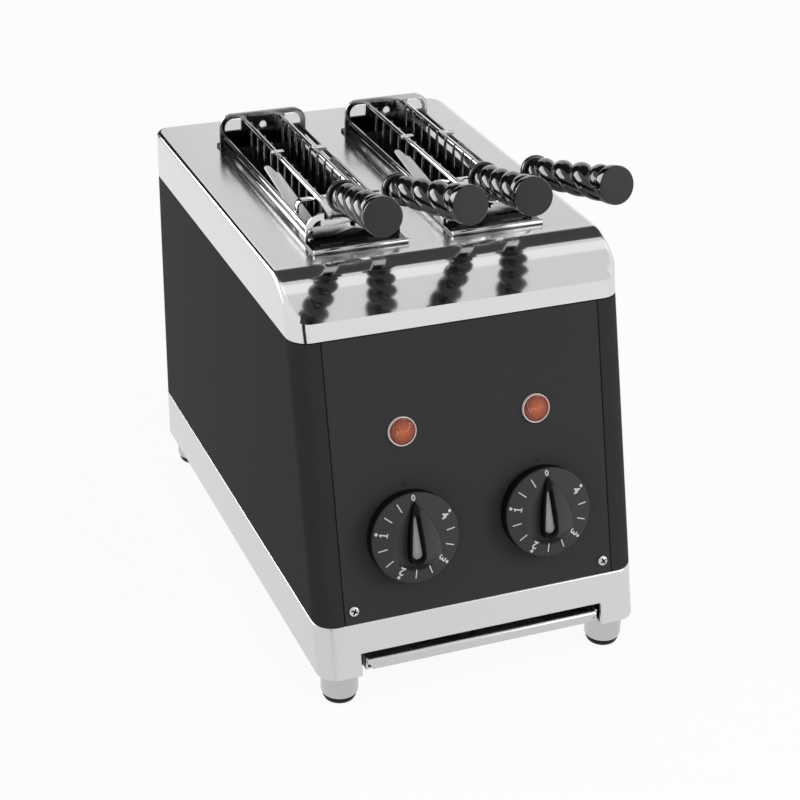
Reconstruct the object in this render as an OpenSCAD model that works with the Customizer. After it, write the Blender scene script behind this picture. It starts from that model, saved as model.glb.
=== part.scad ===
// Two-slot sandwich toaster with lift-out wire tongs, timer knobs and a crumb tray.
// Millimetres, +Z up, origin on the table under the middle of the toaster's box.
// Front is -Y. Left and right are as seen from the front.

/* [Body] */
// Width of the body
body_w = 200; // [185:1:220]
// Depth of the body at the lower edge
body_depth = 330; // [322:1:350]
// Backward lean of the front, in degrees
front_lean = 14.3; // [11:0.1:16]
// Radius of the upright corners
corner_r = 12; // [8:1:13]
// Height of the silver base
base_h = 31; // [29:0.5:38]
// Height of the black case
case_h = 159; // [152:1:170]
// Height of the steel top cover
cover_h = 30; // [26:1:36]
// Wall of the base casting
base_wall = 3; // [2.5:0.1:4]
// Sheet of the case and the front panel
case_wall = 1.5; // [1.2:0.1:2]
// Sheet of the top cover
cover_wall = 1.2; // [1:0.1:1.6]
// Sheet of the bottom plate
bottom_plate_t = 1.5; // [1:0.1:2]
// Width of the flanges folded inward on the case
case_flange_w = 10; // [8:0.5:14]

/* [Top cover] */
// Height of the straight front rim
rim_h = 10.5; // [8:0.5:13]
// Length of the curved nose, front to back
nose_run = 35; // [30:1:40]
// Steel left between a slot and the cover's side
slot_side = 35.5; // [34:0.5:37]
// Width of one slot
slot_w = 45; // [44:0.5:47]
// Length of one slot
slot_l = 161; // [156:1:164]
// Steel left behind the slot frames
slot_back = 53; // [50:1:56]

/* [Feet] */
// Height of the metal foot cups
foot_cup_h = 17; // [14:0.5:20]
// Height of the rubber pads below the cups
foot_pad_h = 5; // [4:0.5:7]
// Diameter of a foot cup
foot_d = 22; // [18:1:25]
// Distance from the body's sides, front and back to a foot's middle
foot_inset = 15.5; // [14:0.5:18]

/* [Front panel] */
// Width of the panel between its two seams
panel_w = 167; // [162:1:169]
// Diameter of the index mark over a knob
index_d = 3; // [2:0.1:4]
// Height of the index mark
index_h = 0.5; // [0.3:0.1:0.8]
// Gap along the panel's seams
panel_gap = 0.4; // [0.3:0.1:0.6]
// Width of the case lips behind the panel's edges
panel_lip_w = 11; // [9:0.5:14]
// Distance between the middles of the knobs, and of the lamps above them
control_pitch = 82; // [78:1:88]
// Height of the knobs above the base
knob_rise = 46; // [42:1:50]
// Height of the lamps above the base
lamp_rise = 104; // [98:1:110]
// Distance from the panel's sides to the panel screws
screw_inset = 5.5; // [4:0.5:7]
// Height of the panel screws above the base
screw_rise = 8; // [7:0.5:10]
// Diameter of a screw head
screw_head_d = 6.2; // [5.5:0.1:7]
// Diameter of a screw shank
screw_d = 3; // [2.5:0.1:3.5]

/* [Timer knobs] */
// Diameter of the dial skirt
dial_d = 52.5; // [50:0.5:58]
// Height of the dial's rim
dial_rim_h = 8; // [7:0.5:8.5]
// Height of the dial's face round the finger hollow
dial_h = 11; // [10:0.5:12]
// Width of the finger hollow in the dial's face
hollow_w = 27; // [24:0.5:28]
// Depth of the finger hollow beside the pointer bar
hollow_depth = 5; // [4:0.25:5.5]
// Distance from the dial's middle up to the tip of the bar
bar_tip = 21; // [19:0.5:22]
// Distance from the dial's middle down to the round end of the bar
bar_low = 15.5; // [14:0.5:17]
// Width of the pointer bar
bar_w = 9.4; // [9:0.2:11]
// Height of the bar above the dial's face
bar_rise = 0.6; // [0.4:0.1:1.5]
// Depth of the channel in the bar
channel_depth = 3.4; // [2.5:0.1:3.6]
// Diameter of the timer shaft
shaft_d = 6; // [5:0.5:7]
// Gap between the dial and the panel
dial_gap = 1.2; // [0.8:0.1:2]
// Side of the square timer body
timer_w = 44; // [38:1:50]
// Depth of the timer body
timer_depth = 30; // [24:1:34]

/* [Lamps] */
// Outer diameter of the lamp bezel
bezel_d = 17; // [15:0.5:20]
// Diameter of the lens
lens_d = 13; // [11:0.5:14]
// Height of the bezel above the panel
bezel_h = 2; // [1.5:0.1:3]
// Height of the lens above the panel
lens_h = 2.8; // [2.2:0.1:3.5]
// Length of the lamp body behind the panel
lamp_body_l = 24; // [18:1:30]

/* [Crumb tray] */
// Width of the tray's cut-out in the base
cutout_w = 151; // [140:1:152]
// Height of the cut-out above the base's lower edge
cutout_h = 13; // [12:0.5:14]
// Width of the tray's lip
tray_w = 146; // [136:1:148]
// Length of the tray behind its lip
tray_l = 262; // [230:1:270]
// Sheet of the tray
tray_wall = 1.2; // [0.8:0.1:1.5]
// Height of the tray's side walls
tray_h = 7.5; // [6:0.5:8]
// Diameter of the rolled edge on the lip
lip_roll_d = 3.2; // [2.6:0.1:3.6]
// How much shorter the lip is at its lower edge, at each end
lip_mitre = 4; // [2:0.5:6]

/* [Slot frames] */
// Sheet of the frame plates
plate_t = 1.6; // [1.2:0.1:2]
// Width of a frame plate
plate_w = 57; // [56:0.5:59]
// Height of the rear plate
rear_plate_h = 23; // [21:0.5:26]
// Height of the front plate's arches
front_plate_h = 18.5; // [17:0.5:18.5]
// Radius of the arches' outer corners
arch_r = 9; // [6:0.5:10]
// Width of the band round an arch's window
arch_band = 3.4; // [2.6:0.1:4]
// Diameter of the guard rods
rod_d = 3; // [2.4:0.1:3.4]
// Height of the upper guard rod above the cover
rod_high = 9; // [8:0.5:11]
// Height of the lower guard rod above the cover
rod_low = 4; // [3.5:0.1:4.5]
// Depth of the apron in front of the front plate
apron_l = 13; // [10:0.5:15]

/* [Tongs] */
// Height of the tong rails above the cover
rail_rise = 18; // [17:0.5:20]
// Distance between the two rails of a tong
rail_gap = 24; // [23:0.5:25]
// Diameter of a rail
rail_d = 3.2; // [2.8:0.1:3.6]
// Diameter of a grid wire
wire_d = 1.8; // [1.5:0.1:2]
// Wires in one grid
wire_count = 12; // [10:1:13]
// Length of the grid wires
wire_l = 136; // [126:1:138]
// Sheet of a tang
tang_t = 2.5; // [2:0.1:3]
// Width of a tang
tang_w = 8; // [6:0.5:9]
// Distance from the front plate to the tong's pivot
pivot_reach = 4; // [3:0.5:8]
// Diameter of the pivot pin
pin_d = 4; // [3.5:0.1:4.5]
// Distance from the pivot to the handle's flange
tang_run = 20; // [18:1:24]
// Rise of the tang up to the handle's flange
tang_rise = 17; // [14:1:20]
// Outward splay of a handle, in degrees
handle_splay = 5.8; // [5:0.1:7]
// Upward tilt of a handle, in degrees
handle_tilt = 14; // [10:0.5:18]
// Length of a handle
handle_l = 87; // [82:1:94]
// Diameter of the handle's flange
flange_d = 18.5; // [17:0.5:20]
// Diameter of the handle's end
handle_end_d = 21; // [20:0.5:22]
// Length of the handle's plain end
handle_end_l = 7; // [5:0.5:12]
// Mean radius of the twisted grip at the flange
grip_r = 7.1; // [6.5:0.1:7.5]
// Height of the twist's lobes above and below the mean
grip_lobe = 1.2; // [0.8:0.1:1.4]
// Swelling of the grip towards its end
grip_swell = 1.24; // [1.15:0.01:1.26]
// Turns of the twist
grip_turns = 2; // [1.5:0.1:2.5]
// Width of the tong bridge's strip
bridge_strip_w = 5; // [4:0.5:6]
// Length of a guide leaf
leaf_l = 58; // [50:1:64]
// Rise of a guide leaf towards its tip
leaf_rise = 9; // [7:0.5:10]
// Width of a guide leaf
leaf_w = 7; // [6:0.5:7.2]
// Wire of the tong spring
spring_wire_d = 1.2; // [1:0.1:1.4]
// Turns of the tong spring
spring_turns = 3; // [2:1:4]

/* [Chamber] */
// Sheet of the toasting chamber
liner_wall = 1; // [0.8:0.1:1.5]
// Gap between the chamber and the case's flanges
liner_gap = 2; // [1:0.5:4]
// Height of the chamber's open lower end above the base
liner_rise = 8; // [5:0.5:12]
// Diameter of a heating tube
tube_d = 9; // [8:0.5:10]
// Heating tubes in one bank
tube_count = 3; // [2:1:4]
// Distance between the tubes of a bank
tube_pitch = 42; // [36:1:44]
// Distance from the chamber's side to the tubes of an outer bank
tube_off = 12; // [10:0.5:13]
// Depth of the ceramic tube holders
holder_l = 10; // [8:0.5:14]
// Width of the ceramic tube holders
holder_w = 14; // [12:0.5:15]
// Diameter of the bars the grids stand on
rest_d = 4; // [3:0.5:5]

/* [Cable inlet] */
// How far the cable gland stands out of the back
gland_out = 8; // [6:0.5:12]
// Diameter of the gland's flange
gland_d = 20; // [17:0.5:24]
// Bore of the gland
gland_bore_d = 8; // [6:0.5:10]
// Height of the gland above the base
gland_rise = 20; // [18:1:30]

/* [Hidden] */

// Clearances
running = 0.05;
loose = 0.3;
slip = 0.1;
// Overreach of a cutting tool past what it cuts
over = 1;
// Facets of a quarter round in an outline
quarter_steps = 8;
$fn = 48;

// Heights
base_z = foot_cup_h + foot_pad_h;
case_z = base_z + base_h;
cover_z = case_z + case_h;
top_z = cover_z + cover_h;
rim_z = cover_z + rim_h;
rail_z = top_z + rail_rise;
liner_z = case_z + liner_rise;
liner_top_z = top_z - cover_wall;

// Widths
slot_pitch = body_w - 2 * slot_side - slot_w;
liner_w = body_w - 2 * (case_flange_w + liner_gap + liner_wall);
bank_pitch = liner_w / 2 - tube_off;

// Handle axis, measured from the tong's pivot
rail_x = rail_gap / 2;
tang_back = 16;
flange_h = 4;
tang_x = rail_x + tang_back * tan(handle_splay);
handle_x = tang_x + tang_run * tan(handle_splay);
handle_end_fall = handle_end_d / 2 * sqrt(1 - pow(cos(handle_splay) * cos(handle_tilt), 2));
handle_run = handle_l * cos(handle_splay) * cos(handle_tilt) + handle_end_fall;

// How far a knob's bar stands out before the body's lower front edge
knob_reach = (dial_gap + dial_h + bar_rise) * cos(front_lean) + bar_low * sin(front_lean)
    - (base_h + knob_rise) * tan(front_lean);

// Depth: the body's back and front, with the origin midway between the foremost piece and the gland
slot_edge = 1.4;
frame_span = slot_back + 2 * plate_t + 2 * slot_edge + slot_l;
handle_reach = frame_span + pivot_reach + tang_run + handle_run - body_depth;
front_y0 = (max(0, handle_reach, knob_reach) - body_depth - gland_out) / 2;
back_y = front_y0 + body_depth;
function front_y(z) = front_y0 + (z - base_z) * tan(front_lean);

// Slots and tongs, front to back
rear_plate_y = back_y - slot_back - plate_t;
slot_y1 = rear_plate_y - slot_edge;
slot_y0 = slot_y1 - slot_l;
front_plate_y = slot_y0 - slot_edge - plate_t;
pivot_y = front_plate_y - pivot_reach;
rail_y1 = rear_plate_y - loose;
rail_y0 = pivot_y + pivot_reach / 2;
tang_z = rail_z + rail_d / 2 + slip;
wire_margin = 2.5 * rail_d;
wire_step = (rail_y1 - slot_y0 - 2 * wire_margin) / (wire_count - 1);
wire_y1 = rail_y1 - wire_margin;
wire_y0 = slot_y0 + wire_margin;
bridge_y = wire_y0 + 1.5 * wire_step;
wire_x = rail_x - (rail_d + wire_d) / 2 + wire_d / 3;
grid_bottom_z = rail_z - wire_l;
rest_z = grid_bottom_z - wire_d / 2 - loose - rest_d / 2;

// Tong pivot, from the bottom head up
lug_r = 5.5;
head_h = 2;
head_r = 4.5;
lug_step = tang_t + loose;
spring_pitch = spring_wire_d + 0.6;
spring_r = pin_d / 2 + loose + spring_wire_d / 2;
spring_leg_l = 12;
spring_z = tang_z + 2 * lug_step + spring_wire_d / 2;
pin_low_z = rail_z - rail_d / 2 - loose;
pin_high_z = spring_z + spring_turns * spring_pitch + spring_wire_d / 2 + loose;

// Chamber, front to back
liner_y0 = slot_y0 - 2;
liner_y1 = slot_y1 + 2;
tube_mid_z = (liner_z + liner_top_z) / 2;
holder_h = (tube_count - 1) * tube_pitch + holder_w;
tube_seat = 6;

// Tray heights
runner_t = 0.7;
runner_guide_t = 1.2;
tray_z = base_z + bottom_plate_t + runner_t + loose;
tray_y0 = front_y(tray_z) + lip_roll_d / 2 + 0.6;

// Outlines

// Corner waste between two edges and a round of radius r; the body lies on +x and +y
module corner_waste(r) {
    arc = [for (k = [0:quarter_steps]) let (t = 90 * k / quarter_steps) [r - r * sin(t), r - r * cos(t)]];
    polygon(concat([[-over, -over], [r, -over]], arc, [[-over, r]]));
}

// Extrudes an outline of [y, z] points across the width w
module across(w) {
    rotate([90, 0, 90])
        linear_extrude(w, center = true)
            children();
}

// Waste at the four upright corners between two heights; the front ones lean with the front
module corner_cuts(z_low, z_high, inset) {
    half_w = body_w / 2 - inset;
    r = corner_r - inset;
    h = z_high - z_low + 2 * over;
    for (side = [0, 1]) mirror([side, 0, 0]) {
        translate([-half_w, front_y(z_low) + inset / cos(front_lean), z_low])
            rotate([-front_lean, 0, 0])
                translate([0, 0, -over])
                    linear_extrude(h / cos(front_lean) + corner_r)
                        corner_waste(r);
        translate([-half_w, back_y - inset, z_low - over])
            mirror([0, 1, 0])
                linear_extrude(h)
                    corner_waste(r);
    }
}

// Body between two heights, all faces moved in by inset
module body_block(z_low, z_high, inset) {
    lean_inset = inset / cos(front_lean);
    difference() {
        across(body_w - 2 * inset)
            polygon([
                [front_y(z_low) + lean_inset, z_low],
                [back_y - inset, z_low],
                [back_y - inset, z_high],
                [front_y(z_high) + lean_inset, z_high]
            ]);
        corner_cuts(z_low, z_high, inset);
    }
}

// Free space between a dial and its index mark
index_gap = 1;

// Places children on the front panel: +z points out of it, +y up along it
module on_panel(x, z) {
    translate([x, front_y(z), z])
        rotate([90 - front_lean, 0, 0])
            children();
}

module at_feet() {
    for (x = [-1, 1], y = [front_y0 + foot_inset, back_y - foot_inset])
        translate([x * (body_w / 2 - foot_inset), y, 0])
            children();
}

// Base

module base_skirt() {
    ledge = 2 * foot_inset;
    color("silver") {
        difference() {
            body_block(base_z, case_z, 0);
            body_block(base_z - over, case_z + over, base_wall);
            translate([-cutout_w / 2, front_y0 - corner_r, base_z - over])
                cube([cutout_w, 2 * corner_r, cutout_h + over]);
        }
        intersection() {
            body_block(base_z + bottom_plate_t, base_z + bottom_plate_t + base_wall, base_wall - slip);
            for (side = [0, 1], y = [front_y0, back_y - ledge]) mirror([side, 0, 0])
                translate([tray_w / 2 + 2 * loose + runner_guide_t, y, 0])
                    cube([body_w / 2, ledge, case_z]);
        }
    }
}

module bottom_plate() {
    vent_w = 5;
    vent_l = 60;
    vent_pitch = 18;
    color("gray")
        difference() {
            body_block(base_z, base_z + bottom_plate_t, base_wall + loose);
            translate([-cutout_w / 2, front_y0, base_z - over])
                cube([cutout_w, corner_r + base_wall, bottom_plate_t + 2 * over]);
            for (k = [-3:3], side = [-1, 1])
                translate([side * body_w / 5 - vent_l / 2, k * vent_pitch - vent_w / 2, base_z - over])
                    cube([vent_l, vent_w, bottom_plate_t + 2 * over]);
        }
}

pad_plug_r = foot_d / 4;
pad_plug_h = foot_pad_h;

module feet() {
    r = foot_d / 2;
    taper = 1;
    color("silver")
        at_feet()
            rotate_extrude()
                polygon([
                    [0, foot_pad_h + pad_plug_h + slip], [pad_plug_r + slip, foot_pad_h + pad_plug_h + slip],
                    [pad_plug_r + slip, foot_pad_h], [r - taper, foot_pad_h], [r, foot_pad_h + taper],
                    [r, base_z], [0, base_z]
                ]);
}

module foot_pads() {
    r = foot_d / 2 - 0.8;
    edge = 1.2;
    color("black")
        at_feet()
            rotate_extrude()
                polygon([
                    [0, 0], [r - edge, 0], [r, edge], [r, foot_pad_h],
                    [pad_plug_r, foot_pad_h], [pad_plug_r, foot_pad_h + pad_plug_h], [0, foot_pad_h + pad_plug_h]
                ]);
}

// Case and panel

// Flat slab in the front's lean, from one depth behind its face to another
module lean_slab(w, depth_low, depth_high, z_low, z_high) {
    across(w)
        polygon([for (p = [[depth_low, z_low], [depth_high, z_low], [depth_high, z_high], [depth_low, z_high]])
            [front_y(p[1]) + p[0] / cos(front_lean), p[1]]]);
}

module panel_holes(d_screw) {
    for (side = [-1, 1]) {
        on_panel(side * (panel_w / 2 - screw_inset), case_z + screw_rise)
            cylinder(d = d_screw, h = 8 * case_wall, center = true);
        on_panel(side * control_pitch / 2, case_z + knob_rise)
            cylinder(d = bushing_d + 2 * slip, h = 8 * case_wall, center = true);
        on_panel(side * control_pitch / 2, case_z + lamp_rise)
            cylinder(d = lamp_body_d + 2 * slip, h = 8 * case_wall, center = true);
    }
}

module case_wrap() {
    window_w = panel_w + 2 * panel_gap;
    lip_mid_w = panel_w - 2 * panel_lip_w;
    lip_w = body_w - 2 * corner_r;
    color("#2b2b2d")
        difference() {
            union() {
                difference() {
                    body_block(case_z, cover_z, 0);
                    body_block(case_z - over, cover_z + over, case_wall);
                }
                difference() {
                    lean_slab(lip_w, case_wall / 2, 2 * case_wall, case_z, cover_z);
                    lean_slab(lip_mid_w, 0, 3 * case_wall, case_z - over, cover_z + over);
                }
                for (z = [case_z, cover_z - case_wall])
                    difference() {
                        body_block(z, z + case_wall, case_wall / 2);
                        body_block(z - over, z + case_wall + over, case_flange_w);
                    }
            }
            lean_slab(window_w, -over, case_wall, case_z - over, cover_z + over);
            panel_holes(screw_d + 2 * slip);
            translate([0, back_y, case_z + gland_rise])
                rotate([90, 0, 0])
                    cylinder(d = gland_neck_d + 2 * slip, h = 8 * case_wall, center = true);
        }
}

module front_panel() {
    color("#2b2b2d")
        difference() {
            union() {
                lean_slab(panel_w, 0, case_wall, case_z, cover_z);
                for (side = [-1, 1])
                    at_knob(side)
                        translate([0, dial_d / 2 + index_d + index_gap, -case_wall / 2])
                            cylinder(d = index_d, h = case_wall / 2 + index_h);
            }
            panel_holes(screw_d + 2 * slip);
        }
}

module panel_screws() {
    head_rise = screw_head_d / 3;
    shank_l = 3 * screw_d;
    color("silver")
        for (side = [-1, 1])
            on_panel(side * (panel_w / 2 - screw_inset), case_z + screw_rise)
                rotate_extrude()
                    polygon([
                        [0, -shank_l], [screw_d / 2, -shank_l], [screw_d / 2, 0], [screw_head_d / 2, 0],
                        [screw_head_d / 2, head_rise / 2], [screw_head_d / 3, head_rise], [0, head_rise]
                    ]);
}

// Top cover

// Side outline of the cover, moved in by inset; the nose is one arc that starts level
module cover_outline(z_low, inset) {
    drop = cover_h - rim_h;
    nose_r = (nose_run * nose_run + drop * drop) / (2 * drop);
    nose_turn = asin(nose_run / nose_r);
    nose_y = front_y(rim_z) + nose_run;
    steps = 12;
    nose = [for (k = [0:steps]) let (t = nose_turn * k / steps)
        [nose_y - (nose_r - inset) * sin(t), top_z - nose_r + (nose_r - inset) * cos(t)]];
    polygon(concat(
        [[back_y - inset, z_low], [back_y - inset, top_z - inset]],
        nose,
        [[front_y(z_low) + inset / cos(front_lean), z_low]]
    ));
}

module cover_block(z_low, inset) {
    difference() {
        across(body_w - 2 * inset)
            cover_outline(z_low, inset);
        corner_cuts(z_low, top_z, inset);
    }
}

module at_slots() {
    for (side = [-1, 1])
        translate([side * slot_pitch / 2, 0, 0])
            children();
}

module top_cover() {
    color("lightgray")
        difference() {
            cover_block(cover_z, 0);
            cover_block(cover_z - over, cover_wall);
            at_slots()
                translate([-slot_w / 2, slot_y0, top_z - 2 * cover_wall])
                    cube([slot_w, slot_l, 4 * cover_wall]);
        }
}

// Slot frames

rod_x = plate_w / 2 - rod_d / 2 - 1;

// Upright plate outline with round shoulders: x across, y up from the cover
module shoulder_outline(w, h, r) {
    arc = [for (k = [0:quarter_steps]) let (t = 90 * k / quarter_steps) [w / 2 - r + r * sin(t), h - r + r * cos(t)]];
    right = concat(arc, [[w / 2, 0]]);
    left = [for (k = [len(right) - 1:-1:0]) [-right[k][0], right[k][1]]];
    polygon(concat(right, left));
}

// Window under an arch on the right, from x_low outward, above y_low
module arch_window(w, h, r, x_low, y_low) {
    intersection() {
        shoulder_outline(w - 2 * arch_band, h - arch_band, r - arch_band);
        translate([x_low, y_low])
            square([w, h]);
    }
}

// Stands an outline up as a plate whose front face is at y
module stand_plate(y, t) {
    translate([0, y + t, top_z])
        rotate([90, 0, 0])
            linear_extrude(t)
                children();
}

module rod_holes() {
    for (side = [-1, 1], z = [rod_low, rod_high])
        translate([side * rod_x, z])
            circle(d = rod_d + 2 * running);
}

module rear_plate() {
    window_x = rail_x + rail_d / 2 + 1;
    window_z = rod_high + rod_d;
    hole_d = 4.5;
    foot_l = 8;
    stand_plate(rear_plate_y, plate_t)
        difference() {
            shoulder_outline(plate_w, rear_plate_h, arch_r);
            for (side = [0, 1]) mirror([side, 0])
                arch_window(plate_w, rear_plate_h, arch_r, window_x, window_z);
            translate([0, rear_plate_h - 2 * hole_d])
                circle(d = hole_d);
            rod_holes();
        }
    translate([-plate_w / 2, rear_plate_y + plate_t / 2, top_z])
        cube([plate_w, foot_l + plate_t / 2, plate_t]);
}

module front_plate() {
    notch_w = 2 * (rail_x + tang_w / 2 + 1.5);
    notch_h = rail_rise - rail_d / 2 - 2;
    window_z = rod_high + rod_d / 2;
    hole_d = 4;
    apron_t = plate_t + 1;
    slot_cut_w = plate_w / 4;
    difference() {
        union() {
            stand_plate(front_plate_y, plate_t)
                difference() {
                    shoulder_outline(plate_w, front_plate_h, arch_r);
                    translate([-notch_w / 2, notch_h])
                        square([notch_w, front_plate_h]);
                    for (side = [0, 1]) mirror([side, 0])
                        arch_window(plate_w, front_plate_h, arch_r, notch_w / 2 + 1.5, window_z);
                    translate([0, notch_h - hole_d])
                        circle(d = hole_d);
                    rod_holes();
                }
            translate([-plate_w / 2, front_plate_y - apron_l, top_z])
                cube([plate_w, apron_l + plate_t / 2, apron_t]);
            translate([-plate_w / 2, front_plate_y - apron_l, top_z + apron_t])
                rotate([0, 90, 0])
                    cylinder(r = apron_t, h = plate_w);
        }
        for (side = [-1, 1])
            translate([side * plate_w / 4 - slot_cut_w / 2, front_plate_y - apron_l + 2 * apron_t, top_z - over])
                cube([slot_cut_w, apron_l / 3, apron_t + 2 * over]);
        translate([-plate_w, front_plate_y - 2 * apron_l, top_z - 4 * apron_t])
            cube([2 * plate_w, 2 * apron_l, 4 * apron_t]);
    }
}

module slot_frame(side) {
    color("gainsboro")
        translate([side * slot_pitch / 2, 0, 0]) {
            rear_plate();
            front_plate();
        }
}

module guard_rods(side) {
    rod_l = rear_plate_y - front_plate_y + 3 * plate_t;
    color("white")
        for (x = [-rod_x, rod_x], z = [rod_low, rod_high])
            translate([side * slot_pitch / 2 + x, front_plate_y - plate_t, top_z + z])
                rotate([-90, 0, 0])
                    cylinder(d = rod_d, h = rod_l);
}

// Toasting chamber

module chamber_liner() {
    h = liner_top_z - liner_z;
    color("dimgray")
        difference() {
            translate([-liner_w / 2 - liner_wall, liner_y0 - liner_wall, liner_z])
                cube([liner_w + 2 * liner_wall, liner_y1 - liner_y0 + 2 * liner_wall, h]);
            translate([-liner_w / 2, liner_y0, liner_z - over])
                cube([liner_w, liner_y1 - liner_y0, h + 2 * over]);
            at_rests()
                cylinder(d = rest_d + 2 * running, h = 2 * liner_w, center = true);
        }
}

module at_rests() {
    for (y = [slot_y0 + slot_l / 4, slot_y1 - slot_l / 4])
        translate([0, y, rest_z])
            rotate([0, 90, 0])
                children();
}

module grid_rests() {
    color("gray")
        at_rests()
            cylinder(d = rest_d, h = liner_w + 4 * liner_wall, center = true);
}

module at_tubes() {
    for (k = [0:tube_count - 1])
        translate([0, 0, tube_mid_z + (k - (tube_count - 1) / 2) * tube_pitch])
            children();
}

module heater(x) {
    y0 = liner_y0 + holder_l - tube_seat;
    y1 = liner_y1 - holder_l + tube_seat;
    color("linen")
        at_tubes()
            translate([x, y0, 0])
                rotate([-90, 0, 0])
                    cylinder(d = tube_d, h = y1 - y0);
}

module heater_holders() {
    color("ivory")
        for (x = [-bank_pitch, 0, bank_pitch], end = [0, 1])
            difference() {
                translate([x - holder_w / 2, end == 0 ? liner_y0 : liner_y1 - holder_l, tube_mid_z - holder_h / 2])
                    cube([holder_w, holder_l, holder_h]);
                at_tubes()
                    translate([x, end == 0 ? liner_y0 + holder_l - tube_seat : liner_y1 - holder_l - over, 0])
                        rotate([-90, 0, 0])
                            cylinder(d = tube_d + 2 * slip, h = tube_seat + over);
            }
}

// Bent sheet behind each outer bank, folded to a shallow trough round every tube
module reflectors() {
    sheet = 0.6 * liner_wall;
    trough = tube_d / 4;
    step = tube_pitch / 2;
    low = tube_mid_z - holder_h / 2;
    n = 2 * (tube_count - 1);
    line = [for (k = [0:n]) [k % 2 == 0 ? 0 : trough, low + holder_w / 2 + k * step]];
    back = [for (k = [n:-1:0]) line[k] + [sheet, 0]];
    color("lightgray")
        difference() {
            for (side = [0, 1]) mirror([side, 0, 0])
                translate([-liner_w / 2, liner_y0 + holder_l + 1, 0])
                    rotate([90, 0, 0])
                        mirror([0, 0, 1])
                            linear_extrude(liner_y1 - liner_y0 - 2 * holder_l - 2)
                                polygon(concat(line, back));
            at_rests()
                cylinder(d = rest_d + 2 * slip, h = 2 * liner_w, center = true);
        }
}

// Timers and knobs

bushing_d = shaft_d + 4;
bushing_l = case_wall + 0.8;
shaft_in = 18;
socket_h = dial_h - hollow_depth;
shaft_out = dial_gap + socket_h;

module at_knob(side) {
    on_panel(side * control_pitch / 2, case_z + knob_rise)
        children();
}

module timer(side) {
    collar_d = timer_w * 0.6;
    collar_h = 4;
    color("whitesmoke")
        at_knob(side)
            difference() {
                union() {
                    translate([-timer_w / 2, -timer_w / 2, -case_wall - collar_h - timer_depth])
                        cube([timer_w, timer_w, timer_depth]);
                    translate([0, 0, -case_wall - collar_h - over])
                        cylinder(d = collar_d, h = collar_h + over);
                    translate([0, 0, -case_wall - over])
                        cylinder(d = bushing_d, h = bushing_l + over);
                }
                translate([0, 0, -shaft_in - loose])
                    cylinder(d = shaft_d + 2 * running, h = shaft_in + loose + bushing_l + over);
            }
}

module timer_shaft(side) {
    color("goldenrod")
        at_knob(side)
            translate([0, 0, -shaft_in])
                cylinder(d = shaft_d, h = shaft_in + shaft_out);
}

// Drop outline: a round end at the origin that narrows to a small round tip along +y
function drop_outline(r, tip_r, l, steps) =
    let (lean = asin((r - tip_r) / l))
    concat(
        [for (k = [0:steps]) let (t = 180 - lean + (180 + 2 * lean) * k / steps) [r * cos(t), r * sin(t)]],
        [for (k = [0:steps]) let (t = lean + (180 - 2 * lean) * k / steps) [tip_r * cos(t), l + tip_r * sin(t)]]
    );

// Finger hollow: turned about a line above the bar, round at its low end and pointed at the bar's tip
module finger_hollow() {
    r = hollow_w / 2;
    axis_h = (pow(r, 2) - pow(hollow_depth, 2)) / (2 * hollow_depth);
    deep_r = axis_h + hollow_depth;
    mid_y = r - bar_low;
    run = bar_tip - mid_y;
    arc_r = (pow(run, 2) + pow(hollow_depth, 2)) / (2 * hollow_depth);
    steps = 10;
    low = [for (k = [steps:-1:1]) let (y = r * k / steps) [sqrt(pow(deep_r, 2) - pow(y, 2)), -y]];
    high = [for (k = [0:steps]) let (y = run * k / steps) [deep_r - arc_r + sqrt(pow(arc_r, 2) - pow(y, 2)), y]];
    translate([0, mid_y, dial_h + axis_h])
        rotate([-90, 0, 0])
            rotate_extrude()
                polygon(concat([[0, -r]], low, high, [[0, run]]));
}

// Outline of the pointer bar: a round low end, then sides that curve in to a blunt tip
function bar_outline(steps) =
    let (
        r = bar_w / 2,
        tip = bar_w / 14,
        end_y = r - bar_low,
        run = bar_tip - end_y,
        arc_r = (pow(run, 2) + pow(r - tip, 2)) / (2 * (r - tip)),
        half = [for (k = [0:steps]) let (y = run * k / steps) [r - arc_r + sqrt(pow(arc_r, 2) - pow(y, 2)), end_y + y]]
    )
    concat(
        half,
        [for (k = [steps:-1:0]) [-half[k][0], half[k][1]]],
        [for (k = [1:steps - 1]) let (t = 180 + 180 * k / steps) [r * cos(t), end_y + r * sin(t)]]
    );

pointer_t = dial_gap * 0.8;
channel_wall = bar_w / 14;
strip_r = bar_w / 3.2;
strip_tip_r = strip_r / 4;
strip_l = 2.3 * bar_w;
strip_y = 0.62 * bar_w - bar_low;

// Outline of the pointer strip on the channel's floor, grown by a gap
module strip_outline(gap) {
    translate([0, strip_y])
        polygon(drop_outline(strip_r + gap, strip_tip_r + gap, strip_l, 10));
}

// Channel that opens from the strip on its floor to the bar's edges
module pointer_channel() {
    sheet = over / 2;
    opening = bar_w / 2 - channel_wall - strip_r;
    translate([0, 0, dial_h + bar_rise - channel_depth])
        linear_extrude(pointer_t + sheet)
            strip_outline(0);
    hull() {
        translate([0, 0, dial_h + bar_rise - channel_depth + pointer_t])
            linear_extrude(sheet)
                strip_outline(0);
        translate([0, 0, dial_h + bar_rise])
            linear_extrude(sheet)
                strip_outline(opening);
    }
}

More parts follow.
